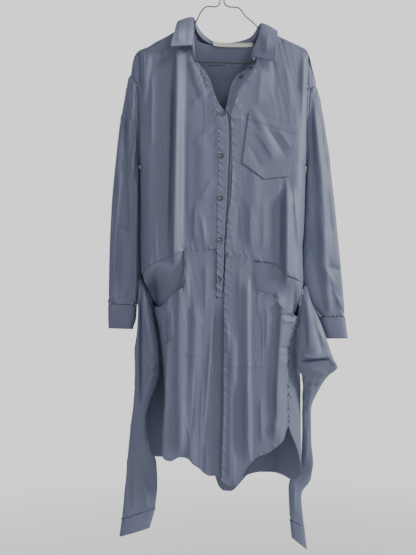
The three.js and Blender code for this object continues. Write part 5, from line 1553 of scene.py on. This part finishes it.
# Camera and studio, in metres
CAMERA = (-0.0329, -2.3, -0.7391)
LENS = 63.5
FLOOR_Z = -1.75
FLOOR_SOLID = 0.6
FLOOR_RADIUS = 3.0
FLOOR_SIDES = 96


def floor_paper(colour):
    """Plain pale paper that fades out towards its rim, so that no edge of it shows from any side."""
    paper = smooth_stuff("studio paper", colour, 0.9, 0.0, 0.0, 0.01)
    nodes, links = paper.node_tree.nodes, paper.node_tree.links
    where = nodes.new("ShaderNodeTexCoord")
    length = nodes.new("ShaderNodeVectorMath")
    length.operation = "LENGTH"
    fade = nodes.new("ShaderNodeMapRange")
    fade.interpolation_type = "SMOOTHSTEP"
    fade.inputs["From Min"].default_value = math.hypot(FLOOR_SOLID, FLOOR_Z)
    fade.inputs["From Max"].default_value = math.hypot(FLOOR_RADIUS, FLOOR_Z) - 0.02
    fade.inputs["To Min"].default_value = 1.0
    fade.inputs["To Max"].default_value = 0.0
    links.new(where.outputs["Object"], length.inputs[0])
    links.new(length.outputs["Value"], fade.inputs["Value"])
    links.new(fade.outputs["Result"], nodes["Principled BSDF"].inputs["Alpha"])
    return paper


def make_room(world, colour, light, seen):
    """The even light of the room, and the pale plain background that the camera sees from every side."""
    world.use_nodes = True
    nodes, links = world.node_tree.nodes, world.node_tree.links
    room = nodes["Background"]
    room.inputs["Color"].default_value = (0.9, 0.94, 1.0, 1)
    room.inputs["Strength"].default_value = light
    plain = nodes.new("ShaderNodeBackground")
    plain.inputs["Color"].default_value = (*colour, 1)
    plain.inputs["Strength"].default_value = seen
    path = nodes.new("ShaderNodeLightPath")
    either = nodes.new("ShaderNodeMixShader")
    links.new(path.outputs["Is Camera Ray"], either.inputs[0])
    links.new(room.outputs[0], either.inputs[1])
    links.new(plain.outputs[0], either.inputs[2])
    links.new(either.outputs[0], nodes["World Output"].inputs["Surface"])


def make_stage():
    own = bpy.context.scene.dress_stage
    scene = bpy.context.scene
    work = bmesh.new()
    made = bmesh.ops.create_circle(work, cap_ends=True, segments=FLOOR_SIDES, radius=FLOOR_RADIUS)
    bmesh.ops.translate(work, verts=made["verts"], vec=(0, 0, FLOOR_Z))
    mesh = bpy.data.meshes.new("studio_floor")
    work.to_mesh(mesh)
    work.free()
    mesh.materials.append(floor_paper(own.floor))
    floor = bpy.data.objects.new("studio_floor", mesh)
    scene.collection.objects.link(floor)
    dress = Vector((0, 0, -0.7))
    lights = (("key_light", (3.1, -1.0, 0.4), 0.6, own.key, (1.0, 0.985, 0.96)),
              ("fill_light", (-0.9, -3.0, 0.3), 1.6, own.fill, (0.95, 0.97, 1.0)),
              ("top_light", (1.3, -1.5, 1.5), 0.7, own.top, (1.0, 0.99, 0.97)),
              ("back_light", (-2.2, 2.6, 0.9), 1.4, own.back, (1.0, 1.0, 1.0)))
    for name, where, size, power, colour in lights:
        lamp = bpy.data.lights.new(name, "AREA")
        lamp.size, lamp.energy, lamp.color = size, power, colour
        obj = bpy.data.objects.new(name, lamp)
        obj.location = where
        obj.rotation_euler = (dress - Vector(where)).to_track_quat("-Z", "Y").to_euler()
        scene.collection.objects.link(obj)
    world = bpy.data.worlds.new("studio")
    make_room(world, (1.0, 1.0, 1.0), own.sky, own.seen)
    scene.world = world
    lens = bpy.data.cameras.new("photo_camera")
    lens.lens, lens.sensor_width, lens.sensor_fit = LENS, 36.0, "AUTO"
    camera = bpy.data.objects.new("photo_camera", lens)
    camera.location, camera.rotation_euler = CAMERA, (math.pi / 2, 0, 0)
    scene.collection.objects.link(camera)
    scene.camera = camera


class DressStep:
    bl_options = {"REGISTER", "UNDO"}

    def execute(self, context):
        self.build()
        return {"FINISHED"}


class DRESS_OT_hanger(DressStep, bpy.types.Operator):
    """Bends the hanger's hook, arms and bar from round wire"""
    bl_idname, bl_label = "dress.hanger", "Hanger"

    def build(self):
        make_hanger(smooth_stuff("lacquered wire", bpy.context.scene.dress_trim.wire, 0.45, 0.4, 0.1, 0.08))


class DRESS_OT_body(DressStep, bpy.types.Operator):
    """Hangs the fronts, the back and the yoke"""
    bl_idname, bl_label = "dress.body", "Fronts, back and yoke"

    def build(self):
        make_body(shirting())


class DRESS_OT_bands(DressStep, bpy.types.Operator):
    """Sews on the buttonhole band and the button band"""
    bl_idname, bl_label = "dress.bands", "Front bands"

    def build(self):
        make_bands(shirting())


class DRESS_OT_collar(DressStep, bpy.types.Operator):
    """Sets the stand on the neck and folds the collar over it"""
    bl_idname, bl_label = "dress.collar", "Collar and stand"

    def build(self):
        make_collar(shirting())


class DRESS_OT_skirt(DressStep, bpy.types.Operator):
    """Hangs the skirt fronts with the centre pleat, and the longer back"""
    bl_idname, bl_label = "dress.skirt", "Skirt"

    def build(self):
        make_skirt(shirting())


class DRESS_OT_pockets(DressStep, bpy.types.Operator):
    """Sets in the hip pockets and lays the chest pocket on the left front"""
    bl_idname, bl_label = "dress.pockets", "Pockets"

    def build(self):
        make_pockets(shirting())
        make_chest_pocket(shirting())


class DRESS_OT_sleeves(DressStep, bpy.types.Operator):
    """Sets in the sleeves with their cuffs"""
    bl_idname, bl_label = "dress.sleeves", "Sleeves and cuffs"

    def build(self):
        make_sleeves(shirting())


class DRESS_OT_ties(DressStep, bpy.types.Operator):
    """Hangs the pair of tie sleeves from the side seams at the hip"""
    bl_idname, bl_label = "dress.ties", "Tie sleeves"

    def build(self):
        make_ties(shirting())


class DRESS_OT_buttons(DressStep, bpy.types.Operator):
    """Turns the buttons, drills them and sews them on"""
    bl_idname, bl_label = "dress.buttons", "Buttons"

    def build(self):
        plastic = smooth_stuff("button horn", bpy.context.scene.dress_trim.button, 0.22, 0.0, 0.5, 0.35)
        make_buttons(plastic, sewing_thread())


class DRESS_OT_label(DressStep, bpy.types.Operator):
    """Sews the bare label inside the neck"""
    bl_idname, bl_label = "dress.label", "Neck label"

    def build(self):
        own = bpy.context.scene.dress_trim
        make_label(woven("label satin", own.label, 0.0003, 0.3, 0.2, 0.45, 0.05))


class DRESS_OT_stitches(DressStep, bpy.types.Operator):
    """Runs the stitches along every seam and hem laid so far"""
    bl_idname, bl_label = "dress.stitches", "Stitches"

    def build(self):
        make_stitches(sewing_thread())


class DRESS_OT_stage(DressStep, bpy.types.Operator):
    """Sets up the pale floor, the lights and the camera"""
    bl_idname, bl_label = "dress.stage", "Studio"

    def build(self):
        make_stage()


STEPS = (DRESS_OT_hanger, DRESS_OT_body, DRESS_OT_bands, DRESS_OT_collar, DRESS_OT_skirt, DRESS_OT_pockets,
         DRESS_OT_sleeves, DRESS_OT_ties, DRESS_OT_buttons, DRESS_OT_label, DRESS_OT_stitches, DRESS_OT_stage)
SETTINGS = (("dress_cloth", DressClothSettings), ("dress_trim", DressTrimSettings),
            ("dress_stage", DressStageSettings))


class DRESS_PT_panel(bpy.types.Panel):
    """Lists the steps of the dress and their settings"""
    bl_idname, bl_label = "DRESS_PT_panel", "Dress"
    bl_space_type, bl_region_type, bl_category = "VIEW_3D", "UI", "Dress"

    def draw(self, context):
        for name, settings in SETTINGS:
            for key in settings.__annotations__:
                self.layout.prop(getattr(context.scene, name), key)
        for step in STEPS:
            self.layout.operator(step.bl_idname)


def register():
    for name, settings in SETTINGS:
        bpy.utils.register_class(settings)
        setattr(bpy.types.Scene, name, bpy.props.PointerProperty(type=settings))
    for step in (*STEPS, DRESS_PT_panel):
        bpy.utils.register_class(step)


def unregister():
    for step in (DRESS_PT_panel, *reversed(STEPS)):
        bpy.utils.unregister_class(step)
    for name, settings in reversed(SETTINGS):
        delattr(bpy.types.Scene, name)
        bpy.utils.unregister_class(settings)


def main():
    register()
    for step in STEPS:
        group, name = step.bl_idname.split(".")
        getattr(getattr(bpy.ops, group), name)()


if __name__ == "__main__":
    main()
